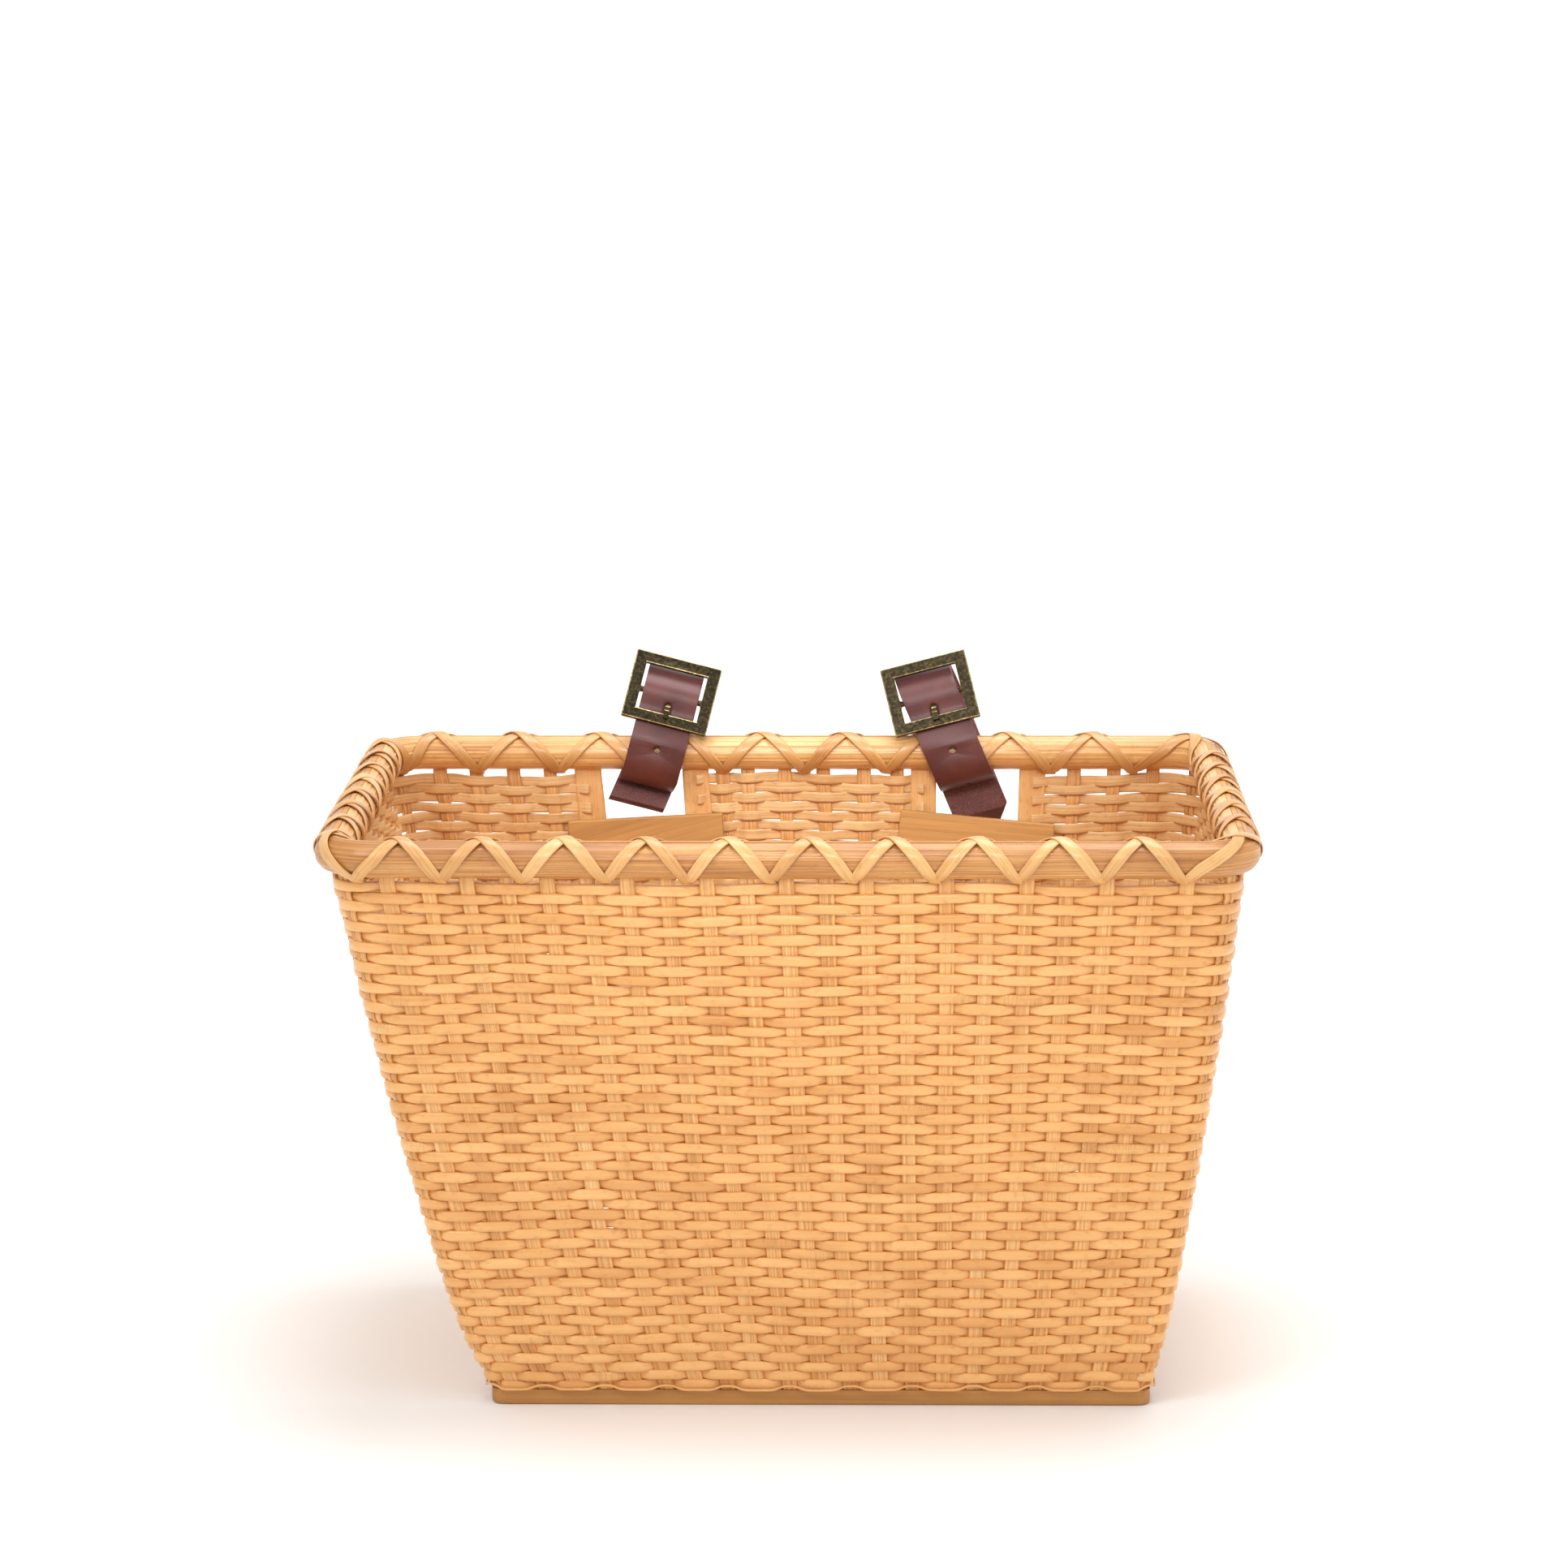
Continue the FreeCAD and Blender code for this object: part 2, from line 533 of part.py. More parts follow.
class Flat:
    """The flat plan of one strap: across (v, away from the basket) and up (w), seen along the loop."""

    def __init__(self, side):
        half = STRAP_THICKNESS / 2
        slope = math.sin(math.radians(STRAP_TILT_DEG))
        spread = STRAP_WIDTH / 2 * slope + 0.2
        self.lean = math.tan(math.radians(STRAP_LEAN_DEG[side]))
        self.tail_turn = math.tan(math.radians(TAIL_TURN_DEG[side]))
        drop = self.lean * LEAN_FROM * slope
        self.rim_low = (0.0, -spread - drop)
        self.rim_high = (0.0, spread - drop)
        self.bar = (BAR_BACK, BAR_ABOVE)
        self.rim_r = RIM_CLEAR_R + half
        self.inner_r = BAR_CLEAR_R + half
        self.outer_r = self.inner_r + STRAP_THICKNESS + STRAP_GAP
        rise = self.bar[1] - self.rim_high[1]
        run = self.bar[0] - self.rim_high[0]
        turn = math.asin((self.outer_r - self.rim_r) / math.hypot(rise, run))
        self.heading = math.atan2(rise, run) + turn
        self.normal = self.heading + math.pi / 2
        self.run_start = on_circle(self.rim_high, self.rim_r, self.normal)
        self.run_end = on_circle(self.bar, self.outer_r, self.normal)
        self.run_length = math.dist(self.run_start, self.run_end)
        self.buckle_at = self.run_length - 3.2

    def front(self, along, out):
        """A point measured along the front run from the buckle's middle, and outwards from its face."""
        face = out + STRAP_THICKNESS / 2 + STRAP_GAP
        distance = self.buckle_at + along
        v = self.run_start[0] + distance * math.cos(self.heading) + face * math.cos(self.normal)
        w = self.run_start[1] + distance * math.sin(self.heading) + face * math.sin(self.normal)
        return v, w

    def shift_at(self, w):
        """How far the leather has moved sideways at height w because it leans or skews."""
        return self.lean * (LEAN_FROM - w) - self.tail_turn * max(0.0, TAIL_FROM - w)

    def tail_line(self, radius_high, radius_low):
        """Angle of the outward normal where a strap leaves the bar and meets the lower rim bend."""
        rise = self.bar[1] - self.rim_low[1]
        run = self.bar[0] - self.rim_low[0]
        turn = math.asin((radius_high - radius_low) / math.hypot(rise, run))
        return math.atan2(rise, run) - turn - math.pi / 2


def on_circle(centre, radius, angle):
    return centre[0] + radius * math.cos(angle), centre[1] + radius * math.sin(angle)


def centre_line(flat, tail):
    """The strap's middle line as a list of pieces, from its fixed end to its tip."""
    pieces = []
    eye_start = flat.front(0.0, -STRAP_THICKNESS * 1.5 - 2 * STRAP_GAP)
    inner_end = on_circle(flat.bar, flat.inner_r, flat.normal)
    pieces.append(("line", eye_start, inner_end))
    back = flat.tail_line(flat.inner_r, flat.rim_r)
    pieces.append(("arc", flat.bar, flat.inner_r, flat.normal, back))
    pieces.append(("line", on_circle(flat.bar, flat.inner_r, back),
                   on_circle(flat.rim_low, flat.rim_r, back)))
    pieces.append(("arc", flat.rim_low, flat.rim_r, back, -math.pi))
    pieces.append(("line", on_circle(flat.rim_low, flat.rim_r, math.pi),
                   on_circle(flat.rim_high, flat.rim_r, math.pi)))
    pieces.append(("arc", flat.rim_high, flat.rim_r, math.pi, flat.normal))
    bump_start = flat.buckle_at - BUMP_REACH
    run = (math.cos(flat.heading), math.sin(flat.heading))
    before_bump = (flat.run_start[0] + bump_start * run[0], flat.run_start[1] + bump_start * run[1])
    pieces.append(("line", flat.run_start, before_bump))
    pieces.append(("bump", before_bump, bump_start))
    over_angle = flat.normal - (flat.buckle_at + BUMP_REACH - flat.run_length) / flat.outer_r
    outer_rim_r = flat.rim_r + STRAP_THICKNESS + STRAP_GAP
    back_outer = flat.tail_line(flat.outer_r, outer_rim_r)
    pieces.append(("arc", flat.bar, flat.outer_r, over_angle, back_outer))
    leave = on_circle(flat.bar, flat.outer_r, back_outer)
    meet = on_circle(flat.rim_low, outer_rim_r, back_outer)
    if tail == "hanging":
        down = (meet[0] - leave[0], meet[1] - leave[1])
        length = math.hypot(*down)
        stretch = (length + 0.5) / length
        bend_start = (leave[0] + down[0] * stretch, leave[1] + down[1] * stretch)
        pieces.append(("line", leave, bend_start))
        bend_centre = on_circle(bend_start, HANGING_TAIL_R, back_outer)
        turned = back_outer + math.pi
        pieces.append(("arc_up", bend_centre, HANGING_TAIL_R, turned, turned + HANGING_TAIL_TURN))
    else:
        curl_end = math.radians(-52.0)
        pieces.append(("line", leave, meet))
        pieces.append(("arc", flat.rim_low, outer_rim_r, back_outer, curl_end))
        start = on_circle(flat.rim_low, outer_rim_r, curl_end)
        end = (start[0] + CURLED_TAIL * math.sin(curl_end), start[1] - CURLED_TAIL * math.cos(curl_end))
        pieces.append(("line", start, end))
    return pieces


def bump_points(flat, out, start, steps=24):
    """Points over the centre bar: the run, then the circle about the bar, both raised by the bump."""
    points = []
    for step in range(steps + 1):
        distance = start + 2 * BUMP_REACH * step / steps
        from_middle = distance - flat.buckle_at
        raised = BUMP_HEIGHT * math.cos(math.pi / 2 * from_middle / BUMP_REACH) ** 2
        past = distance - flat.run_length
        if past <= 0:
            base = (flat.run_start[0] + distance * math.cos(flat.heading),
                    flat.run_start[1] + distance * math.sin(flat.heading))
            angle = flat.normal
        else:
            angle = flat.normal - past / flat.outer_r
            base = on_circle(flat.bar, flat.outer_r, angle)
        points.append(on_circle(base, raised, angle))
    shifted = []
    for index, point in enumerate(points):
        before = points[max(0, index - 1)]
        after = points[min(len(points) - 1, index + 1)]
        along = math.atan2(after[1] - before[1], after[0] - before[0])
        shifted.append(on_circle(point, out, along + math.pi / 2))
    end_angle = flat.normal - (start + 2 * BUMP_REACH - flat.run_length) / flat.outer_r
    shifted[0] = on_circle(points[0], out, flat.normal)
    shifted[-1] = on_circle(points[-1], out, end_angle)
    return shifted, flat.heading, end_angle - math.pi / 2


def edge_of(piece, flat, out, place):
    """One face of one piece of the strap, out from the middle line, as an edge."""
    kind = piece[0]
    if kind == "line":
        (v0, w0), (v1, w1) = piece[1], piece[2]
        side = math.atan2(w1 - w0, v1 - v0) + math.pi / 2
        return Part.LineSegment(place(*on_circle((v0, w0), out, side)),
                                place(*on_circle((v1, w1), out, side))).toShape()
    if kind == "bump":
        points, start_angle, end_angle = bump_points(flat, out, piece[2])
        curve = Part.BSplineCurve()
        origin = place(0.0, 0.0)
        tangents = [place(math.cos(a), math.sin(a)) - origin for a in (start_angle, end_angle)]
        curve.interpolate(Points=[place(*point) for point in points],
                          InitialTangent=tangents[0], FinalTangent=tangents[1])
        return curve.toShape()
    centre, radius, start, end = piece[1:]
    face_r = radius + out if kind == "arc" else radius - out
    if kind == "arc":
        while end > start:
            end -= 2 * math.pi
        if start - end > 2 * math.pi:
            end += 2 * math.pi
    points = [place(*on_circle(centre, face_r, angle)) for angle in (start, (start + end) / 2, end)]
    return Part.Arc(*points).toShape()


def strap_frame(side):
    """Origin on the rim's axis, and the loop's directions along, across and up."""
    tilt = math.radians(STRAP_TILT_DEG) * (1 if side == "left" else -1)
    origin = V(RIM_OFFSET_X + STRAP_X[side], MOUTH_HALF_Y, RIM_AXIS_Z)
    return origin, V(math.cos(tilt), 0, -math.sin(tilt)), V(0, 1, 0), V(math.sin(tilt), 0, math.cos(tilt))


def strap_tools(side):
    origin, along, across, up = strap_frame(side)

    def place(v, w, u=0.0):
        return origin + along * u + across * v + up * w

    return along, place


def plate(points, place, along, width):
    """A closed outline in the strap's plan, made as wide as asked about the strap's middle."""
    half = width / 2
    face = Part.Face(polygon([place(v, w, -half) for v, w in points]))
    return face.extrude(along * width)


def rod(flat, place, along, width, position, radius):
    """A round rod across the strap at a place measured on the buckle."""
    return Part.makeCylinder(radius, width, place(*flat.front(*position), -width / 2), along)


def punch(place, point, angle, reach=4.0):
    """A round punched hole through one layer of strap."""
    tip = on_circle(point, reach / 2, angle)
    foot = on_circle(point, -reach / 2, angle)
    start = place(*foot)
    return Part.makeCylinder(PUNCH_R, reach, start, place(*tip) - start)


def slot_through(flat, place, along, ends, depths, width):
    """A straight-sided slot, between two places on the front run and two depths from its face."""
    corners = ((ends[0], depths[0]), (ends[1], depths[0]), (ends[1], depths[1]), (ends[0], depths[1]))
    return plate([flat.front(s, n) for s, n in corners], place, along, width)


def leaning_band(flat, place):
    """The space between the strap's two edges, which lean together."""
    half = STRAP_WIDTH / 2
    depth = 100.0
    low, high = -60.0, 80.0
    corners = ((high, -half), (high, half), (TAIL_FROM, half), (low, half), (low, -half), (TAIL_FROM, -half))
    base = polygon([place(-depth / 2, w, u + flat.shift_at(w)) for w, u in corners])
    return Part.Face(base).extrude(V(0, depth, 0))


def build_strap(side, tail, flat):
    along, place = strap_tools(side)
    half = STRAP_THICKNESS / 2
    blank_width = 2 * STRAP_WIDTH

    def edge_place(v, w):
        return place(v, w, -blank_width / 2)

    def leaning_place(v, w, u=0.0):
        return place(v, w, u + flat.shift_at(w))

    pieces = centre_line(flat, tail)
    outer = [edge_of(piece, flat, half, edge_place) for piece in pieces]
    inner = [edge_of(piece, flat, -half, edge_place) for piece in pieces]
    first = Part.LineSegment(outer[0].valueAt(outer[0].FirstParameter),
                             inner[0].valueAt(inner[0].FirstParameter)).toShape()
    last = Part.LineSegment(outer[-1].valueAt(outer[-1].LastParameter),
                            inner[-1].valueAt(inner[-1].LastParameter)).toShape()
    wire = Part.Wire(Part.__sortEdges__(outer + inner + [first, last]))
    body = Part.Face(wire).extrude(along * blank_width)
    eye = rod(flat, place, along, blank_width, (0.0, CENTRE_BAR_DEPTH), EYE_R)
    body = body.fuse(eye).common(leaning_band(flat, place))
    cutters = [rod(flat, place, along, blank_width, (0.0, CENTRE_BAR_DEPTH), EYE_HOLE_R)]
    cutters.append(slot_through(flat, place, along, EYE_SLOT, EYE_SLOT_DEPTHS, PRONG_WIDTH + 1.4))
    cutters.append(slot_through(flat, place, along, PRONG_SLOT, PRONG_SLOT_DEPTHS, 2 * PRONG_SLOT_R))
    below, above = [place(*flat.front(PRONG_SLOT[1], depth)) for depth in PRONG_SLOT_DEPTHS]
    cutters.append(Part.makeCylinder(PRONG_SLOT_R, (above - below).Length, below, above - below))
    cutters.append(punch(leaning_place, on_circle(flat.rim_high, flat.rim_r, math.pi), math.pi))
    tail_angle = flat.tail_line(flat.outer_r, flat.rim_r + STRAP_THICKNESS + STRAP_GAP)
    tail_hole = on_circle(flat.bar, flat.outer_r, tail_angle - 0.02)
    cutters.append(punch(leaning_place, tail_hole, tail_angle, 2.75))
    if side == "right":
        cutters.append(punch(leaning_place, on_circle(flat.rim_low, flat.rim_r, REST_ANGLE), REST_ANGLE))
        cutters += tip_cutters(leaning_place, pieces[-1])
    save("strap_" + side, body.cut(cutters))


def tip_cutters(place, last_piece):
    """Wedges that leave the hanging tip with two chamfered corners."""
    centre, radius, _, end = last_piece[1:]
    tip = on_circle(centre, radius, end)
    wedges = []
    for edge in (-1, 1):
        corner = place(*tip, edge * STRAP_WIDTH / 2)
        chamfer_start = on_circle(centre, radius, end - TIP_CHAMFER * 1.25 / radius)
        up_strap = place(*chamfer_start, edge * STRAP_WIDTH / 2)
        across_tip = place(*tip, edge * (STRAP_WIDTH / 2 - TIP_CHAMFER))
        away = (corner - up_strap).normalize()
        outward = (corner - across_tip).normalize()
        thick = outward.cross(away).normalize()
        cut_line = across_tip - up_strap
        far = cut_line.normalize()
        base = [up_strap - far * 6, across_tip + far * 6,
                across_tip + far * 6 + (away + outward) * 12, up_strap - far * 6 + (away + outward) * 12]
        face = Part.Face(polygon([point - thick * 6 for point in base]))
        wedges.append(face.extrude(thick * 12))
    return wedges


def build_buckle(side, flat):
    """A flat rectangular frame, its centre bar set behind it on two lugs."""
    along, place = strap_tools(side)
    half_length = FRAME_LENGTH / 2
    opening = half_length - FRAME_END

    def slab(along_low, along_high, out_low, out_high, width):
        corners = ((along_low, out_low), (along_high, out_low), (along_high, out_high), (along_low, out_high))
        return plate([flat.front(s, n) for s, n in corners], place, along, width)

    frame = slab(-half_length, half_length, 0.0, FRAME_THICKNESS, FRAME_WIDTH)
    frame = frame.makeFillet(0.5, frame.Edges)
    inner_width = FRAME_WIDTH - 2 * FRAME_SIDE
    frame = frame.cut(slab(-opening, opening, -1.0, FRAME_THICKNESS + 1.0, inner_width))
    lug_width = 3.0
    lugs = slab(-1.8, 1.8, CENTRE_BAR_DEPTH - 1.6, 0.3, inner_width + 2 * lug_width)
    lugs = lugs.cut(slab(-3.0, 3.0, CENTRE_BAR_DEPTH - 3.0, 1.0, inner_width))
    bar = rod(flat, place, along, inner_width + 2, (0.0, CENTRE_BAR_DEPTH), CENTRE_BAR_R)
    save("buckle_frame_" + side, frame.fuse([lugs, bar]).removeSplitter())


def build_prong(side, flat):
    """A bent tongue: a ring round the centre bar, a shank and a tip that rests on the frame."""
    along, place = strap_tools(side)
    rest = FRAME_THICKNESS + 0.1 + PRONG_THICKNESS / 2
    route = ((0.0, CENTRE_BAR_DEPTH), (-5.2, -4.2), (-9.3, rest), (-12.4, rest))
    half = PRONG_THICKNESS / 2
    solids = [rod(flat, place, along, PRONG_WIDTH, (0.0, CENTRE_BAR_DEPTH), 2.25)]
    for (s0, n0), (s1, n1) in zip(route, route[1:]):
        angle = math.atan2(n1 - n0, s1 - s0)
        shift_s = -half * math.sin(angle)
        shift_n = half * math.cos(angle)
        corners = ((s0 + shift_s, n0 + shift_n), (s1 + shift_s, n1 + shift_n),
                   (s1 - shift_s, n1 - shift_n), (s0 - shift_s, n0 - shift_n))
        solids.append(plate([flat.front(s, n) for s, n in corners], place, along, PRONG_WIDTH))
        if (s1, n1) != route[-1]:
            solids.append(rod(flat, place, along, PRONG_WIDTH, (s1, n1), half))
    bore = rod(flat, place, along, PRONG_WIDTH + 2, (0.0, CENTRE_BAR_DEPTH), CENTRE_BAR_R + 0.06)
    save("prong_" + side, solids[0].fuse(solids[1:]).cut(bore))


def report_places():
    """Print the places that the joints and mounts are taken from."""
    for side in STRAP_X:
        flat = Flat(side)
        along, place = strap_tools(side)
        bar = place(*flat.bar)
        centre_bar = place(*flat.front(0.0, CENTRE_BAR_DEPTH))
        origin = strap_frame(side)[0]
        print(f"{side}: rim axis {origin}  handlebar {bar}  centre bar {centre_bar}  along {along}")
    centre_x, half_x, half_y, corner_r = outline_at(WINDOW_SILL)
    print(f"weave top {WEAVE_TOP:.2f}  sill {WINDOW_SILL:.2f}  rim axis {RIM_AXIS_Z:.2f}")
    print(f"wall at the sill: x {centre_x:.2f}, half {half_x:.2f} x {half_y:.2f}, corner {corner_r:.2f}")


# ---------------------------------------------------------------- build
def main():
    for wall in WALL_STAKES:
        solids = wall_uprights(wall, 0.0, STAKE_FOOT)
        if wall == "back":
            posts = solids[-4:]
            solids = solids[:-4]
            for side, pair in (("left", posts[:2]), ("right", posts[2:])):
                holes = [brad(place, BRAD_HOLE_GAP) for place in brad_places(side)]
                save("window_posts_" + side, Part.makeCompound([post.cut(holes) for post in pair]))
        save("stakes_" + wall, Part.makeCompound(solids))
    corners = [corner_upright(corner, CORNER_STAKE_WIDTH, CORNER_STAKE_THICKNESS, STAKE_FOOT, STAKE_TOP)
               for corner in CORNERS]
    save("stakes_corners", Part.makeCompound(corners))

    channels = {wall: wall_uprights(wall, 2 * FIT, STAKE_FOOT - FIT) for wall in WALL_STAKES}
    for corner in CORNERS:
        channels[corner] = [corner_upright(corner, CORNER_STAKE_WIDTH + 2 * FIT,
                                           CORNER_STAKE_THICKNESS + 2 * FIT, STAKE_FOOT - FIT, STAKE_TOP)]
    build_board(channels)
    build_weave(channels)
    build_foot_strand()
    build_rim()
    build_lashing(channels)
    build_blocks()
    for side, tail in (("left", "curled"), ("right", "hanging")):
        flat = Flat(side)
        build_strap(side, tail, flat)
        build_buckle(side, flat)
        build_prong(side, flat)
    report_places()


main()
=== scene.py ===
"""The looks of a woven handlebar basket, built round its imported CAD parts. Lengths are in metres."""

import json
import math

import bpy
import numpy as np
from mathutils import Euler, Matrix, Vector

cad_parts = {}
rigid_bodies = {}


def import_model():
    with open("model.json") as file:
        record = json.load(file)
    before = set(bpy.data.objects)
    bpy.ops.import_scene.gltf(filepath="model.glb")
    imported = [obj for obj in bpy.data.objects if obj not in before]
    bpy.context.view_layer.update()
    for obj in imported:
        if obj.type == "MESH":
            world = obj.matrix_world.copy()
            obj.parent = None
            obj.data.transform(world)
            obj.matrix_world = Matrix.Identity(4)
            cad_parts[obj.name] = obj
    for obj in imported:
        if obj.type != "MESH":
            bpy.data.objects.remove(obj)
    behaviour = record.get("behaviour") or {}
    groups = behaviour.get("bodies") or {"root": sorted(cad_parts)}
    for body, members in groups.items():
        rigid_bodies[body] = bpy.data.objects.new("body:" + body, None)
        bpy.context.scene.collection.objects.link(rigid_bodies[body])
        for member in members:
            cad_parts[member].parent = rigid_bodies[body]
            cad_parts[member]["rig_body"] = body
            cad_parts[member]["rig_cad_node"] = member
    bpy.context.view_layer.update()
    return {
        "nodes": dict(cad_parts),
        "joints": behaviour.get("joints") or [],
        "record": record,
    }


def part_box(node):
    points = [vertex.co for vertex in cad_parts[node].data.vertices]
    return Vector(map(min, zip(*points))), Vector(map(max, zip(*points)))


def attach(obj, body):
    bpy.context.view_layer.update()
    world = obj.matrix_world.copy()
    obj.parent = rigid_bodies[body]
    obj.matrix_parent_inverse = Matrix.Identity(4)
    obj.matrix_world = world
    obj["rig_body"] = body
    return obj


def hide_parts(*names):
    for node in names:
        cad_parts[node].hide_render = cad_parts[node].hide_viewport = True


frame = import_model()
nodes = frame["nodes"]
MM = 0.001

# ---------------------------------------------------------------- measured from the frame
RIM_LOW, RIM_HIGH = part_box("rim_outer_hoop")
LASH_LOW, LASH_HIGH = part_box("rim_lashing")
SILL_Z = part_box("weave_back_lower")[1].z
WEAVE_TOP_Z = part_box("weave_front")[1].z
WEAVE_FOOT_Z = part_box("weave_front")[0].z
RIM_Z = (RIM_LOW.z + RIM_HIGH.z) / 2
MOUTH_X = (RIM_LOW.x + RIM_HIGH.x) / 2
LASH_R = (LASH_HIGH.z - LASH_LOW.z) / 2

# ---------------------------------------------------------------- driving sizes of the woven work
STAKE_T = 1.8 * MM
CORNER_STAKE_T = 1.5 * MM
HOOP_GAP = 1.0 * MM            # from the wall's middle to the flat of a hoop
HOOP_CROWN = 7.1 * MM          # from the wall's middle to the crown of a hoop
HOOP_R = 6.9 * MM              # of a hoop's round side before its ridges, about the wall's middle
RIM_CORNER_R = 17.0 * MM
ROW_PITCH = 3.9 * MM
STRAND_H = 4.25 * MM           # of one weaver, seen from the front
STRAND_T = 1.75 * MM
ROUND_POINTS = 8               # on the round side of a weaver's section
STEPS = 11                     # from one stake to the next along a weaver
OUTSIDE_BIAS = 1.6             # above 1 a weaver stays outside for longer than inside
ROWS_PER_PIECE = 13
LASH_W = 4.6 * MM
LASH_T = 0.85 * MM
# turns of the lashing, pitches along the straight of a side, and where the first turn is in pitches
BACK_WRAPS = (10, 9, 0.39)
SIDE_WRAPS = (7, 7, 0.5)
FRONT_WRAPS = (11, 10, -0.2)
STAKE_GIVE = 0.5 * MM          # how far a weaver pushes a stake out of the way
HALF_X = RIM_HIGH.x - HOOP_CROWN - MOUTH_X
HALF_Y = RIM_HIGH.y - HOOP_CROWN


def random_for(name):
    """A random source of its own for each piece, so one piece never changes another."""
    return np.random.default_rng(sum(ord(letter) * (index + 1) for index, letter in enumerate(name)))


def smooth_noise(rng, length, spacing, closed=True):
    """Random values from -1 to 1 that change smoothly over about spacing steps."""
    knots = max(4, int(length / spacing))
    values = rng.uniform(-1, 1, knots)
    place = np.arange(length) / length * (knots if closed else knots - 1)
    low = np.floor(place).astype(int)
    part = place - low
    part = part * part * (3 - 2 * part)
    return values[low % knots] * (1 - part) + values[(low + 1) % knots] * part


# ---------------------------------------------------------------- meshes
def signed_volume(points, faces):
    """Above zero when the faces of a tube point outward."""
    corners = points[faces]
    middle = corners.mean(1)
    normal = np.cross(corners[:, 2] - corners[:, 0], corners[:, 3] - corners[:, 1])
    return float((middle * normal).sum())


def tube_faces(count, around, closed, first):
    """Quads between neighbouring rings of a tube, whose vertices start at first."""
    rings = np.arange(count if closed else count - 1)
    here = first + rings[:, None] * around + np.arange(around)[None, :]
    there = first + ((rings + 1) % count)[:, None] * around + np.arange(around)[None, :]
    return np.stack([here, there, np.roll(there, -1, 1), np.roll(here, -1, 1)], -1).reshape(-1, 4)


class Tubes:
    """Collects many tubes into one mesh, with where each point lies on its strand."""

    def __init__(self):
        self.points = []
        self.strand = []
        self.quads = []
        self.caps = []
        self.total = 0

    def add(self, rings, along, across, identity, closed):
        """rings is count x around x 3; along and across are lengths that the material reads."""
        count, around = rings.shape[:2]
        points = rings.reshape(-1, 3)
        quads = tube_faces(count, around, closed, 0)
        flipped = signed_volume(points - points.mean(0), quads) < 0
        if flipped:
            quads = quads[:, ::-1]
        self.quads.append(quads + self.total)
        if not closed:
            start = [self.total + k for k in range(around)]
            end = [self.total + (count - 1) * around + k for k in range(around)]
            self.caps += [start[::-1] if flipped else start, end if flipped else end[::-1]]
        where = np.zeros((count, around, 3))
        where[:, :, 0] = along[:, None]
        where[:, :, 1] = across
        where[:, :, 2] = identity
        self.points.append(points)
        self.strand.append(where.reshape(-1, 3))
        self.total += len(points)

    def build(self, name, material):
        """The mesh piece made of everything that was added."""
        mesh = bpy.data.meshes.new(name)
        faces = np.concatenate(self.quads).tolist() + self.caps
        mesh.from_pydata(np.concatenate(self.points).tolist(), [], faces)
        places = mesh.attributes.new("strand", "FLOAT_VECTOR", "POINT")
        places.data.foreach_set("vector", np.concatenate(self.strand).astype(np.float32).ravel())
        mesh.materials.append(material)
        mesh.polygons.foreach_set("use_smooth", [True] * len(mesh.polygons))
        mesh.update()
        piece = bpy.data.objects.new(name, mesh)
        bpy.context.scene.collection.objects.link(piece)
        return piece


def finish_piece(piece, body, slot, *replaced):
    """The body that a piece rides on, and the CAD nodes that it stands for; slot is not used."""
    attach(piece, body)
    if replaced:
        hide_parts(*replaced)


# ---------------------------------------------------------------- where the uprights stand
def merged_parts(node):
    """The separate solids of a node, each as an array of its points."""
    mesh = nodes[node].data
    points = np.zeros(len(mesh.vertices) * 3)
    mesh.vertices.foreach_get("co", points)
    places, index = np.unique(np.round(points.reshape(-1, 3), 6), axis=0, return_inverse=True)
    index = index.ravel()
    leader = np.arange(len(places))

    def find(k):
        while leader[k] != k:
            leader[k] = leader[leader[k]]
            k = leader[k]
        return k

    for edge in mesh.edges:
        a, b = find(index[edge.vertices[0]]), find(index[edge.vertices[1]])
        leader[a] = b
    roots = np.array([find(k) for k in range(len(places))])
    return [places[roots == root] for root in np.unique(roots)]


class Upright:
    """One stake or post: where its middle line runs and how wide it is."""

    def __init__(self, node, points):
        self.node = node
        levels = {}
        for point in points:
            levels.setdefault(round(float(point[2]), 4), []).append(point[:2])
        boxes = {z: (np.min(ps, 0), np.max(ps, 0)) for z, ps in levels.items()}
        spans = {z: float(np.hypot(*(high - low))) for z, (low, high) in boxes.items()}
        widest = max(spans.values())
        self.z = np.array([z for z in sorted(boxes) if spans[z] > 0.8 * widest])
        self.xy = np.array([(boxes[z][0] + boxes[z][1]) / 2 for z in self.z])
        self.at_corner = node == "stakes_corners"
        if self.at_corner:
            self.width = widest - CORNER_STAKE_T
        else:
            self.width = math.sqrt(widest ** 2 - STAKE_T ** 2)
        self.top = float(self.z[-1])

    def at(self, z):
        return np.array([np.interp(z, self.z, self.xy[:, 0]), np.interp(z, self.z, self.xy[:, 1])])


UPRIGHT_NODES = ("stakes_front", "stakes_back", "stakes_left", "stakes_right", "stakes_corners",
                 "window_posts_left", "window_posts_right")


def uprights_in_order():
    """Every upright, in the order in which a weaver meets them going round the basket."""
    found = [Upright(node, points) for node in UPRIGHT_NODES for points in merged_parts(node)]
    level = SILL_Z - 4 * MM
    middle = np.mean([u.at(level) for u in found], 0)

    def bearing(upright):
        x, y = upright.at(level) - middle
        return math.atan2(y / HALF_Y, x / HALF_X)

    return sorted(found, key=bearing)


UPRIGHTS = uprights_in_order()


# ---------------------------------------------------------------- materials
def new_material(name):
    """A material with its nodes and links."""
    material = bpy.data.materials.new(name)
    material.use_nodes = True
    return material, material.node_tree.nodes, material.node_tree.links


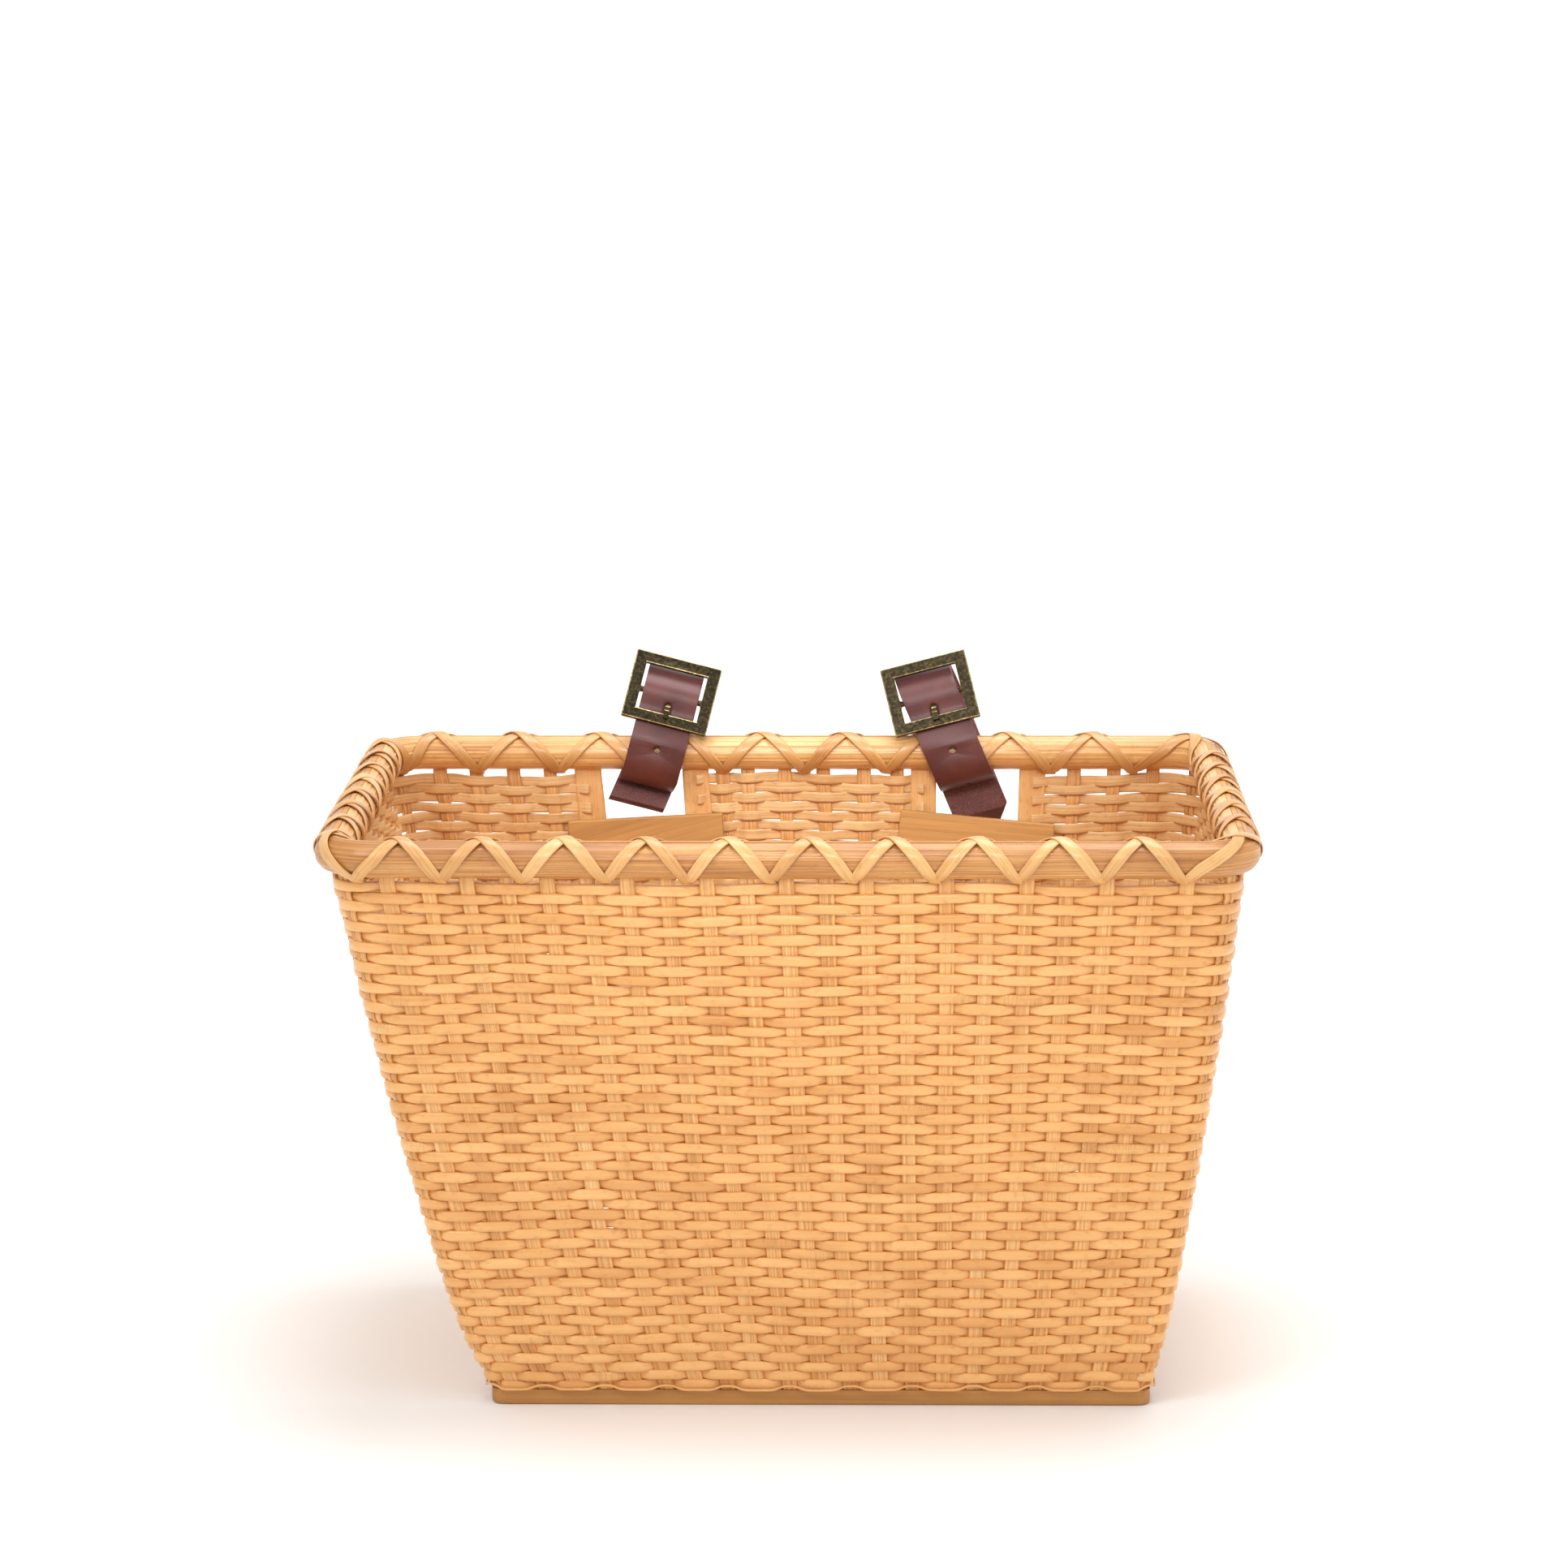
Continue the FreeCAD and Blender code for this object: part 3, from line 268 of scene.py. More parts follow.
def ramp(tree_nodes, stops):
    """A colour ramp from pairs of a position and a grey value or a colour."""
    node = tree_nodes.new("ShaderNodeValToRGB")
    elements = node.color_ramp.elements
    while len(elements) < len(stops):
        elements.new(0.5)
    for element, (place, colour) in zip(elements, stops):
        element.position = place
        element.color = (*colour, 1.0) if isinstance(colour, tuple) else (colour, colour, colour, 1.0)
    return node


def linear(red, green, blue):
    """A screen colour, each part from 0 to 255, as the linear value that shaders use."""
    return tuple((c / 255 / 12.92) if c / 255 <= 0.04045 else ((c / 255 + 0.055) / 1.055) ** 2.4
                 for c in (red, green, blue))


def stretched_noise(tree_nodes, links, source, stretch, scale, detail=4.0, rough=0.55):
    """Noise drawn out along one direction by the three factors of stretch."""
    mapping = tree_nodes.new("ShaderNodeMapping")
    mapping.inputs["Scale"].default_value = stretch
    noise = tree_nodes.new("ShaderNodeTexNoise")
    noise.inputs["Scale"].default_value = scale
    noise.inputs["Detail"].default_value = detail
    noise.inputs["Roughness"].default_value = rough
    links.new(source, mapping.inputs["Vector"])
    links.new(mapping.outputs["Vector"], noise.inputs["Vector"])
    return noise.outputs["Fac"]


def mix_colour(tree_nodes, links, factor, first, second, mode="MIX"):
    node = tree_nodes.new("ShaderNodeMix")
    node.data_type = "RGBA"
    node.blend_type = mode
    for value, socket in ((factor, 0), (first, 6), (second, 7)):
        if isinstance(value, bpy.types.NodeSocket):
            links.new(value, node.inputs[socket])
        elif socket == 0:
            node.inputs[0].default_value = value
        else:
            node.inputs[socket].default_value = (*value, 1.0)
    return node.outputs[2]


def add_bump(tree_nodes, links, height, strength, distance, shader, below=None):
    bump = tree_nodes.new("ShaderNodeBump")
    bump.inputs["Strength"].default_value = strength
    bump.inputs["Distance"].default_value = distance
    links.new(height, bump.inputs["Height"])
    if below is not None:
        links.new(below, bump.inputs["Normal"])
    links.new(bump.outputs["Normal"], shader.inputs["Normal"])
    return bump.outputs["Normal"]


def cane(name, colours, fibre, fibre_scale, gloss):
    """Split cane: fibres along the strand, soft mottling and patches of fine cross cracks."""
    dark, mid, light = colours
    material, n, l = new_material(name)
    shader = n["Principled BSDF"]
    strand = n.new("ShaderNodeAttribute")
    strand.attribute_name = "strand"
    place = strand.outputs["Vector"]
    split = n.new("ShaderNodeSeparateXYZ")
    l.new(place, split.inputs[0])
    tone = stretched_noise(n, l, place, (14.0, 60.0, 9.0), 1.0, 2.0)
    fibres = stretched_noise(n, l, place, (fibre_scale / 90, fibre_scale, 5.0), 1.0, 3.0, 0.65)
    mottle = stretched_noise(n, l, place, (260.0, 420.0, 7.0), 1.0, 4.0)
    patches = stretched_noise(n, l, place, (16.0, 20.0, 3.3), 1.0, 1.0)
    cracks = stretched_noise(n, l, place, (2400.0, 160.0, 5.0), 1.0, 2.0)

    tone_ramp = ramp(n, ((0.30, dark), (0.5, mid), (0.72, light)))
    l.new(tone, tone_ramp.inputs[0])
    brown = (1.0 - 0.75 * fibre, 1.0 - fibre, 1.0 - 1.3 * fibre)
    fibre_ramp = ramp(n, ((0.30, brown), (0.62, 1.0)))
    l.new(fibres, fibre_ramp.inputs[0])
    colour = mix_colour(n, l, 1.0, tone_ramp.outputs[0], fibre_ramp.outputs[0], "MULTIPLY")
    mottle_ramp = ramp(n, ((0.28, (0.88, 0.82, 0.74)), (0.46, 1.0)))
    l.new(mottle, mottle_ramp.inputs[0])
    colour = mix_colour(n, l, 1.0, colour, mottle_ramp.outputs[0], "MULTIPLY")

    patch_ramp = ramp(n, ((0.60, 0.0), (0.68, 1.0)))
    l.new(patches, patch_ramp.inputs[0])
    crack_height = n.new("ShaderNodeMath")
    crack_height.operation = "MULTIPLY"
    l.new(cracks, crack_height.inputs[0])
    l.new(patch_ramp.outputs[0], crack_height.inputs[1])
    crack_ramp = ramp(n, ((0.46, 1.0), (0.66, 0.80)))
    l.new(crack_height.outputs[0], crack_ramp.inputs[0])
    colour = mix_colour(n, l, 1.0, colour, crack_ramp.outputs[0], "MULTIPLY")
    l.new(colour, shader.inputs["Base Color"])
    shader.inputs["Roughness"].default_value = gloss
    shader.inputs["Coat Weight"].default_value = 0.30
    shader.inputs["Coat Roughness"].default_value = 0.20
    first = add_bump(n, l, fibres, 0.35 * (1 + fibre), 0.00025, shader)
    second = add_bump(n, l, mottle, 0.30, 0.0003, shader, first)
    add_bump(n, l, crack_height.outputs[0], 0.55, 0.0004, shader, second)
    return material


def wood(name, dark, light, grain_turn_deg, roughness):
    """Plain sawn wood; the grain runs along X, turned about Y by the angle."""
    material, n, l = new_material(name)
    shader = n["Principled BSDF"]
    coordinates = n.new("ShaderNodeTexCoord")
    turned = n.new("ShaderNodeMapping")
    turned.inputs["Rotation"].default_value = (0.0, math.radians(grain_turn_deg), 0.0)
    l.new(coordinates.outputs["Object"], turned.inputs["Vector"])
    grain = stretched_noise(n, l, turned.outputs["Vector"], (9.0, 500.0, 500.0), 1.0, 4.0, 0.6)
    bands = stretched_noise(n, l, turned.outputs["Vector"], (4.0, 90.0, 90.0), 1.0, 3.0)
    pores = stretched_noise(n, l, turned.outputs["Vector"], (120.0, 2600.0, 2600.0), 1.0, 2.0, 0.7)
    band_ramp = ramp(n, ((0.32, dark), (0.68, light)))
    l.new(bands, band_ramp.inputs[0])
    grain_ramp = ramp(n, ((0.30, 0.78), (0.58, 1.0)))
    l.new(grain, grain_ramp.inputs[0])
    colour = mix_colour(n, l, 1.0, band_ramp.outputs[0], grain_ramp.outputs[0], "MULTIPLY")
    pore_ramp = ramp(n, ((0.27, 0.80), (0.36, 1.0)))
    l.new(pores, pore_ramp.inputs[0])
    colour = mix_colour(n, l, 1.0, colour, pore_ramp.outputs[0], "MULTIPLY")
    l.new(colour, shader.inputs["Base Color"])
    shader.inputs["Roughness"].default_value = roughness
    first = add_bump(n, l, grain, 0.35, 0.0003, shader)
    add_bump(n, l, pores, 0.30, 0.0002, shader, first)
    return material


def leather_face():
    """The smooth side: pebbled grain with slow changes of tone."""
    material, n, l = new_material("leather_face")
    shader = n["Principled BSDF"]
    coordinates = n.new("ShaderNodeTexCoord")
    place = coordinates.outputs["Object"]
    tone = stretched_noise(n, l, place, (55.0, 55.0, 55.0), 1.0, 3.0)
    fine = stretched_noise(n, l, place, (1500.0, 1500.0, 1500.0), 1.0, 2.0, 0.6)
    tone_ramp = ramp(n, ((0.3, linear(84, 42, 40)), (0.7, linear(112, 58, 54))))
    l.new(tone, tone_ramp.inputs[0])
    l.new(tone_ramp.outputs[0], shader.inputs["Base Color"])
    shader.inputs["Roughness"].default_value = 0.43
    shader.inputs["Specular IOR Level"].default_value = 0.55
    grain = n.new("ShaderNodeTexVoronoi")
    grain.inputs["Scale"].default_value = 1700.0
    l.new(place, grain.inputs["Vector"])
    first = add_bump(n, l, grain.outputs["Distance"], 0.18, 0.00018, shader)
    add_bump(n, l, fine, 0.22, 0.00016, shader, first)
    return material


def leather_flesh(name, dark, light):
    """The raw side and the cut edges: short rough fibres."""
    material, n, l = new_material(name)
    shader = n["Principled BSDF"]
    coordinates = n.new("ShaderNodeTexCoord")
    place = coordinates.outputs["Object"]
    nap = stretched_noise(n, l, place, (1900.0, 1900.0, 1900.0), 1.0, 4.0, 0.7)
    patch = stretched_noise(n, l, place, (160.0, 160.0, 160.0), 1.0, 2.0)
    nap_ramp = ramp(n, ((0.34, dark), (0.66, light)))
    l.new(nap, nap_ramp.inputs[0])
    patch_ramp = ramp(n, ((0.3, 0.82), (0.7, 1.0)))
    l.new(patch, patch_ramp.inputs[0])
    colour = mix_colour(n, l, 1.0, nap_ramp.outputs[0], patch_ramp.outputs[0], "MULTIPLY")
    l.new(colour, shader.inputs["Base Color"])
    shader.inputs["Roughness"].default_value = 0.88
    add_bump(n, l, nap, 0.8, 0.0004, shader)
    return material


def brass(name, dark, mid, light, speckle, roughness):
    """Brass with fine dark specks over slow changes of tone."""
    material, n, l = new_material(name)
    shader = n["Principled BSDF"]
    coordinates = n.new("ShaderNodeTexCoord")
    place = coordinates.outputs["Object"]
    mottle = stretched_noise(n, l, place, (700.0, 700.0, 700.0), 1.0, 5.0, 0.7)
    specks = stretched_noise(n, l, place, (2400.0, 2400.0, 2400.0), 1.0, 3.0, 0.7)
    mottle_ramp = ramp(n, ((0.36, dark), (0.52, mid), (0.68, light)))
    l.new(mottle, mottle_ramp.inputs[0])
    speck_ramp = ramp(n, ((0.34, 1.0 - speckle), (0.5, 1.0)))
    l.new(specks, speck_ramp.inputs[0])
    colour = mix_colour(n, l, 1.0, mottle_ramp.outputs[0], speck_ramp.outputs[0], "MULTIPLY")
    l.new(colour, shader.inputs["Base Color"])
    shader.inputs["Metallic"].default_value = 0.85
    shader.inputs["Roughness"].default_value = roughness
    add_bump(n, l, specks, 0.18, 0.0002, shader)
    return material


def plain_steel():
    material, n, l = new_material("plain_steel")
    shader = n["Principled BSDF"]
    coordinates = n.new("ShaderNodeTexCoord")
    scratches = stretched_noise(n, l, coordinates.outputs["Object"], (900.0, 300.0, 2400.0), 1.0, 3.0)
    tone = ramp(n, ((0.3, linear(120, 117, 112)), (0.7, linear(168, 165, 158))))
    l.new(scratches, tone.inputs[0])
    l.new(tone.outputs[0], shader.inputs["Base Color"])
    shader.inputs["Metallic"].default_value = 1.0
    shader.inputs["Roughness"].default_value = 0.38
    add_bump(n, l, scratches, 0.12, 0.0001, shader)
    return material


CANE_WEAVE = cane("cane_weave", (linear(218, 152, 82), linear(236, 176, 106), linear(245, 190, 122)),
                  0.10, 2600.0, 0.34)
# Rougher cane for the inside faces of the weavers, painted paler as painted light on the shaded inside of
# the basket.
CANE_INSIDE_PAINTED_LIGHT = cane("cane_inside_painted_light", (linear(232, 180, 118), linear(246, 202, 142), linear(252, 214, 158)),
                 0.30, 1500.0, 0.62)
CANE_STAKE = cane("cane_stake", (linear(222, 158, 88), linear(242, 184, 114), linear(250, 200, 136)),
                  0.50, 1300.0, 0.55)
CANE_POST = cane("cane_post", (linear(226, 164, 96), linear(242, 188, 120), linear(250, 202, 140)),
                 0.16, 2000.0, 0.55)
# The two hoops are the same cane: the outer hoop is painted darker, as painted shade on the front of the
# rim, and the inner hoop paler, as painted light on the inside of the back rim.
CANE_PAINTED_SHADE_OUTER_HOOP = cane("cane_painted_shade_outer_hoop",
                       (linear(180, 118, 56), linear(208, 147, 80), linear(228, 171, 103)),
                       0.55, 1500.0, 0.42)
CANE_PAINTED_LIGHT_INNER_HOOP = cane("cane_painted_light_inner_hoop",
                       (linear(224, 164, 94), linear(244, 190, 122), linear(252, 206, 142)),
                       0.30, 1500.0, 0.42)
CANE_LASH = cane("cane_lash", (linear(208, 150, 86), linear(226, 172, 106), linear(240, 194, 132)),
                 0.30, 1700.0, 0.36)
CANE_FILLER = wood("cane_filler", linear(196, 136, 74), linear(226, 168, 102), 0.0, 0.5)
WOOD_BOARD = wood("wood_board", linear(172, 114, 54), linear(196, 140, 72), 0.0, 0.5)
WOOD_BLOCK_LEFT = wood("wood_block_left", linear(190, 132, 68), linear(216, 158, 88), 16.0, 0.6)
WOOD_BLOCK_RIGHT = wood("wood_block_right", linear(194, 136, 72), linear(220, 162, 92), -5.0, 0.6)
LEATHER_FACE = leather_face()
LEATHER_FLESH = leather_flesh("leather_flesh", linear(104, 62, 60), linear(150, 102, 98))
LEATHER_EDGE = leather_flesh("leather_edge", linear(124, 70, 70), linear(176, 116, 114))
BRASS_DARK = brass("brass_dark", linear(32, 26, 15), linear(58, 50, 32), linear(88, 78, 52), 0.35, 0.40)
BRASS_BRIGHT_EDGE = brass("brass_bright_edge", linear(120, 106, 66), linear(170, 154, 104), linear(214, 198, 148),
                   0.15, 0.34)
STEEL = plain_steel()


# ---------------------------------------------------------------- the weave
def spline_through(points, steps, closed):
    """Catmull-Rom curve through plan points, steps to each gap, and its unit heading."""
    count = len(points)
    if closed:
        index = np.arange(count)
        before, here, after, beyond = (points[(index + k) % count] for k in (-1, 0, 1, 2))
    else:
        index = np.arange(count - 1)
        here, after = points[:-1], points[1:]
        before = points[np.maximum(index - 1, 0)]
        beyond = points[np.minimum(index + 2, count - 1)]
    t = (np.arange(steps) / steps)[None, :, None]
    a, b, c, d = (p[:, None, :] for p in (before, here, after, beyond))
    place = 0.5 * (2 * b + (c - a) * t + (2 * a - 5 * b + 4 * c - d) * t ** 2
                   + (3 * b - a - 3 * c + d) * t ** 3)
    place = place.reshape(-1, 2)
    if closed:
        heading = np.roll(place, -1, 0) - np.roll(place, 1, 0)
    else:
        place = np.vstack([place, points[-1:]])
        heading = np.gradient(place, axis=0)
    return place, heading / np.linalg.norm(heading, axis=1)[:, None]


def eased_wave(signs, steps, closed):
    """From over (1) at one upright to under (-1) at the next, flat near each upright."""
    pairs = len(signs) if closed else len(signs) - 1
    t = np.arange(steps) / steps
    wave = []
    for index in range(pairs):
        here, there = signs[index], signs[(index + 1) % len(signs)]
        late = t ** OUTSIDE_BIAS if here > 0 else 1 - (1 - t) ** OUTSIDE_BIAS
        swing = np.cos(math.pi * late)
        swing = swing * (1.6 - 0.6 * swing ** 2)
        wave.append(here * swing if here != there else np.full(steps, float(here)))
    wave = np.concatenate(wave)
    return wave if closed else np.append(wave, signs[-1])


def row_lift(x, y, z):
    """How far the rows wander up and down at a place, all together."""
    slow = 0.45 * MM * np.sin(x * 33.0 + z * 21.0 + 4.0 * np.sign(y))
    return slow + 0.30 * MM * np.sin(x * 83.0 - z * 47.0)


def stake_give(upright):
    """A wide post stays straight; a stake bows in and out between the weavers."""
    return 0.0 if upright.node.startswith("window_posts") else STAKE_GIVE


def weaver_rings(plan, heading, wave, give, z, lift, height, thickness):
    """The half-oval rings of one weaver: round side out, flat side lying on the stakes it passes over."""
    outward = np.stack([heading[:, 1], -heading[:, 0]], 1)
    base = -thickness / 2 + ((STAKE_T + thickness) / 2 - give) * wave
    angles = np.linspace(-math.pi / 2, math.pi / 2, ROUND_POINTS)
    out = np.concatenate([np.cos(angles) ** 0.5, [-0.04, -0.04]])
    rise = np.concatenate([np.sin(angles), [0.6, -0.6]])
    radial = base[:, None] + thickness[:, None] * out[None, :]
    ring_z = (z + lift)[:, None] + height[:, None] / 2 * rise[None, :]
    x = plan[:, 0:1] + outward[:, 0:1] * radial
    y = plan[:, 1:2] + outward[:, 1:2] * radial
    return np.stack([x, y, ring_z], -1), height[:, None] / 2 * rise[None, :]


def row_stretches(z):
    """The runs of uprights that the row at height z crosses: the whole ring, or less at a window."""
    if z < SILL_Z - ROW_PITCH / 2:
        return [(list(range(len(UPRIGHTS))), True)]
    posts = {name: [k for k, u in enumerate(UPRIGHTS) if u.node == name]
             for name in ("window_posts_left", "window_posts_right")}
    count = len(UPRIGHTS)
    right_outer, right_inner = sorted(posts["window_posts_right"], key=lambda k: -UPRIGHTS[k].at(z)[0])
    left_inner, left_outer = sorted(posts["window_posts_left"], key=lambda k: -UPRIGHTS[k].at(z)[0])
    middle = [k for k in range(right_inner, left_inner + 1)]
    round_walls = [k % count for k in range(left_outer, right_outer + count + 1)]
    return [(middle, False), (round_walls, False)]


def weave_row(tubes, row, rng):
    """One weaver all the way round, or its two runs between the windows."""
    z = WEAVE_FOOT_Z + (row + 0.5) * ROW_PITCH
    for members, closed in row_stretches(z):
        points = np.array([UPRIGHTS[k].at(z) for k in members])
        signs = [1 if (k + row) % 2 == 0 else -1 for k in members]
        plan, heading = spline_through(points, STEPS, closed)
        wave = eased_wave(signs, STEPS, closed)
        if not closed:
            edge = min(STEPS, len(wave) // 3)
            wave[:edge] = np.minimum(wave[:edge], 0.85)
        count = len(wave)
        give = np.interp(np.arange(count) / STEPS, np.arange(len(members) + 1),
                         [stake_give(UPRIGHTS[k]) for k in members + members[:1]])
        lift = 0.38 * MM * smooth_noise(rng, count, 1.7 * STEPS, closed)
        lift += row_lift(plan[:, 0], plan[:, 1], z)
        height_change = 0.09 * smooth_noise(rng, count, 2 * STEPS, closed)
        height = STRAND_H * (1 - 0.05 * (1 - wave ** 2) + height_change)
        thickness = STRAND_T * (1 + 0.12 * smooth_noise(rng, count, 1.6 * STEPS, closed))
        rings, across = weaver_rings(plan, heading, wave, give, z, lift, height, thickness)
        step = np.linalg.norm(np.diff(plan, axis=0, append=plan[-1:]), axis=1)
        along = np.cumsum(step) + rng.uniform(0, 5)
        tubes.add(rings, along, across, row * 1.7 + rng.uniform(0, 0.4), closed)


def paint_light_inside(mesh):
    """The flat side of the weavers, turned to the inside, takes a rougher cane painted paler: painted light
    on the shaded inside of the basket.
    """
    mesh.materials.append(CANE_INSIDE_PAINTED_LIGHT)
    normals = np.empty(len(mesh.polygons) * 3)
    centres = np.empty(len(mesh.polygons) * 3)
    mesh.polygons.foreach_get("normal", normals)
    mesh.polygons.foreach_get("center", centres)
    normals, centres = normals.reshape(-1, 3), centres.reshape(-1, 3)
    away = (centres[:, :2] - (MOUTH_X, 0.0)) / (HALF_X, HALF_Y)
    facing_x = np.abs(away[:, 0]) > np.abs(away[:, 1])
    outward = np.where(facing_x, normals[:, 0] * np.sign(away[:, 0]), normals[:, 1] * np.sign(away[:, 1]))
    mesh.polygons.foreach_set("material_index", (outward < -0.35).astype(np.int32))


def build_weave():
    """All the rows, in bands from the foot up."""
    rows = int(round((WEAVE_TOP_Z - WEAVE_FOOT_Z) / ROW_PITCH))
    rng = random_for("weave")
    walls = [name for name in nodes if name.startswith("weave_")]
    bands = math.ceil(rows / ROWS_PER_PIECE)
    for band in range(bands):
        tubes = Tubes()
        for row in range(band * ROWS_PER_PIECE, min(rows, (band + 1) * ROWS_PER_PIECE)):
            weave_row(tubes, row, rng)
        piece = tubes.build(f"woven_band_{band + 1}", CANE_WEAVE)
        # Painted light: the inward faces take the paler inside cane.
        paint_light_inside(piece.data)
        finish_piece(piece, "basket", "weave_cane", *(walls if band == 0 else ()))


# ---------------------------------------------------------------- stakes and posts
def ribbed_section(width, thickness, ribs, groove_depth, rng):
    """A flat strip's section with fine ribs on both faces, as across and out."""
    count = ribs * 3 + 1
    across = np.linspace(-0.5, 0.5, count)
    groove = groove_depth * (np.arange(count) % 3 == 0) * rng.uniform(0.4, 1.4, count)
    edge = 1 - np.abs(2 * across) ** 8 * 0.45
    face = thickness / 2 * edge - groove
    top = np.stack([across * width, face], 1)
    bottom = np.stack([across[::-1] * width, -face[::-1]], 1)
    return np.vstack([top, bottom])


def upright_rings(upright, section, offset, rng, sway, foot, top):
    """The rings of one strip up a wall, bowing in and out between the rows."""
    levels = np.arange(foot, top, ROW_PITCH / 2)
    levels = np.append(levels[:-1], top)
    places = np.array([upright.at(min(max(z, upright.z[0]), upright.z[-1])) for z in levels])
    inward = places - np.array([np.interp(levels, [0, RIM_Z], [0, MOUTH_X]), np.zeros(len(levels))]).T
    if upright.at_corner:
        out = np.sign(inward) / math.sqrt(2)
    elif upright.node in ("stakes_left", "stakes_right"):
        out = np.stack([np.sign(inward[:, 0]), np.zeros(len(levels))], 1)
    else:
        out = np.stack([np.zeros(len(levels)), np.sign(inward[:, 1])], 1)
    along = np.stack([-out[:, 1], out[:, 0]], 1)
    shift = sway * smooth_noise(rng, len(levels), 18, False)
    row = (levels - row_lift(places[:, 0], places[:, 1], levels) - WEAVE_FOOT_Z) / ROW_PITCH - 0.5
    parity = 1 if UPRIGHTS.index(upright) % 2 == 0 else -1
    bowed = np.where((levels > WEAVE_FOOT_Z) & (levels < WEAVE_TOP_Z), -parity * np.cos(math.pi * row), 0.0)
    centre = places + along * shift[:, None] + out * (stake_give(upright) * bowed)[:, None]
    swell = 1 + 0.05 * smooth_noise(rng, len(levels), 14, False)
    flat = section[None, :, 0] * swell[:, None] + offset
    x = centre[:, 0:1] + along[:, 0:1] * flat + out[:, 0:1] * section[None, :, 1]
    y = centre[:, 1:2] + along[:, 1:2] * flat + out[:, 1:2] * section[None, :, 1]
    z = np.repeat(levels[:, None], len(section), 1)
    return np.stack([x, y, z], -1), levels, flat


def build_uprights():
    """Ribbed stakes and wide posts; a corner upright is two narrow strips."""
    for node in UPRIGHT_NODES:
        rng = random_for(node)
        is_post = node.startswith("window_posts")
        tubes = Tubes()
        for number, upright in enumerate([u for u in UPRIGHTS if u.node == node]):
            ribs = 9 if is_post else 5
            groove_depth = (0.08 if is_post else 0.2) * MM
            thickness = CORNER_STAKE_T if upright.at_corner else STAKE_T
            strips = 2 if upright.at_corner else 1
            strip_width = upright.width / strips - (strips - 1) * 0.3 * MM
            for strip in range(strips):
                offset = (strip - (strips - 1) / 2) * upright.width / strips
                section = ribbed_section(strip_width * 0.98, thickness * 0.97, ribs, groove_depth, rng)
                foot = float(upright.z[0])
                rings, along, across = upright_rings(upright, section, offset, rng, 0.25 * MM,
                                                     foot, upright.top)
                tubes.add(rings, along + number, across, number * 2.3 + 11.0 + strip, False)
        piece = tubes.build(node + "_cane", CANE_POST if is_post else CANE_STAKE)
        finish_piece(piece, "basket", "stake_cane", node)


# ---------------------------------------------------------------- the rim
def mouth_path(step, grow=0.0):
    """Plan points, outward directions and distances round the mouth, from the right side's back end."""
    points, outs = [], []
    radius = RIM_CORNER_R + grow
    arc_steps = max(6, int(radius * math.pi / 2 / step))
    corners = ((1, 1, 0, HALF_X), (-1, 1, 90, HALF_Y), (-1, -1, 180, HALF_X), (1, -1, 270, HALF_Y))
    for sign_x, sign_y, start_deg, half in corners:
        centre = np.array([MOUTH_X + sign_x * (HALF_X - RIM_CORNER_R), sign_y * (HALF_Y - RIM_CORNER_R)])
        for k in range(arc_steps):
            angle = math.radians(start_deg) + math.pi / 2 * k / arc_steps
            outs.append((math.cos(angle), math.sin(angle)))
            points.append(centre + radius * np.array(outs[-1]))
        angle = math.radians(start_deg + 90)
        out = np.array([math.cos(angle), math.sin(angle)])
        run = np.array([-out[1], out[0]])
        straight = 2 * (half - RIM_CORNER_R)
        for k in range(int(straight / step)):
            points.append(centre + radius * out + run * straight * k / int(straight / step))
            outs.append(tuple(out))
    points = np.array(points)
    lengths = np.linalg.norm(np.roll(points, -1, 0) - points, axis=1)
    return points, np.array(outs), np.concatenate([[0.0], np.cumsum(lengths)[:-1]]), lengths.sum()


def hoop_rings(side, rng):
    """Ridged half-round cane; side is 1 outside the wall and -1 inside it."""
    plan, outs, along, _ = mouth_path(2.6 * MM)
    count = 44
    edge = math.acos(HOOP_GAP / HOOP_R)
    angles = np.linspace(-edge, edge, count)
    ridges = smooth_noise(rng, count, 2.2, False)[None, :] * 0.10 * MM
    drift = smooth_noise(rng, len(plan), 60)[:, None] * np.cos(angles * 3)[None, :] * 0.08 * MM
    fine = smooth_noise(rng, len(plan) * count, 1.4).reshape(len(plan), count) * 0.03 * MM
    splits = np.zeros((len(plan), count))
    for place in range(2, count - 2):
        if rng.random() < 0.34:
            fade = np.clip(smooth_noise(rng, len(plan), rng.uniform(9, 40)) * 2, 0, 1)
            splits[:, place] = 0.32 * MM * fade
    radius = HOOP_R + ridges + drift + fine - splits
    ring_out = radius * np.cos(angles)[None, :]
    rise = radius * np.sin(angles)[None, :]
    waver = 0.2 * MM * smooth_noise(rng, len(plan), 70)[:, None]
    out = side * np.concatenate([ring_out, np.full((len(plan), 1), HOOP_GAP)], 1)
    z = RIM_Z + waver + np.concatenate([rise, rise[:, :1] * 0], 1)
    x = plan[:, 0:1] + outs[:, 0:1] * out
    y = plan[:, 1:2] + outs[:, 1:2] * out
    across = np.concatenate([np.repeat(angles[None, :], len(plan), 0) * HOOP_R,
                             np.zeros((len(plan), 1))], 1)
    return np.stack([x, y, z], -1), along, across


def build_hoops():
    """The outer and the inner half-round cane of the rim."""
    for side, node in ((1, "rim_outer_hoop"), (-1, "rim_inner_hoop")):
        rng = random_for(node)
        tubes = Tubes()
        rings, along, across = hoop_rings(side, rng)
        tubes.add(rings, along, across, 3.0 + side, True)
        # Painted shade on the outer hoop, painted light on the inner hoop.
        material = CANE_PAINTED_SHADE_OUTER_HOOP if side == 1 else CANE_PAINTED_LIGHT_INNER_HOOP
        finish_piece(tubes.build(node + "_cane", material), "basket", "rim_cane", node)


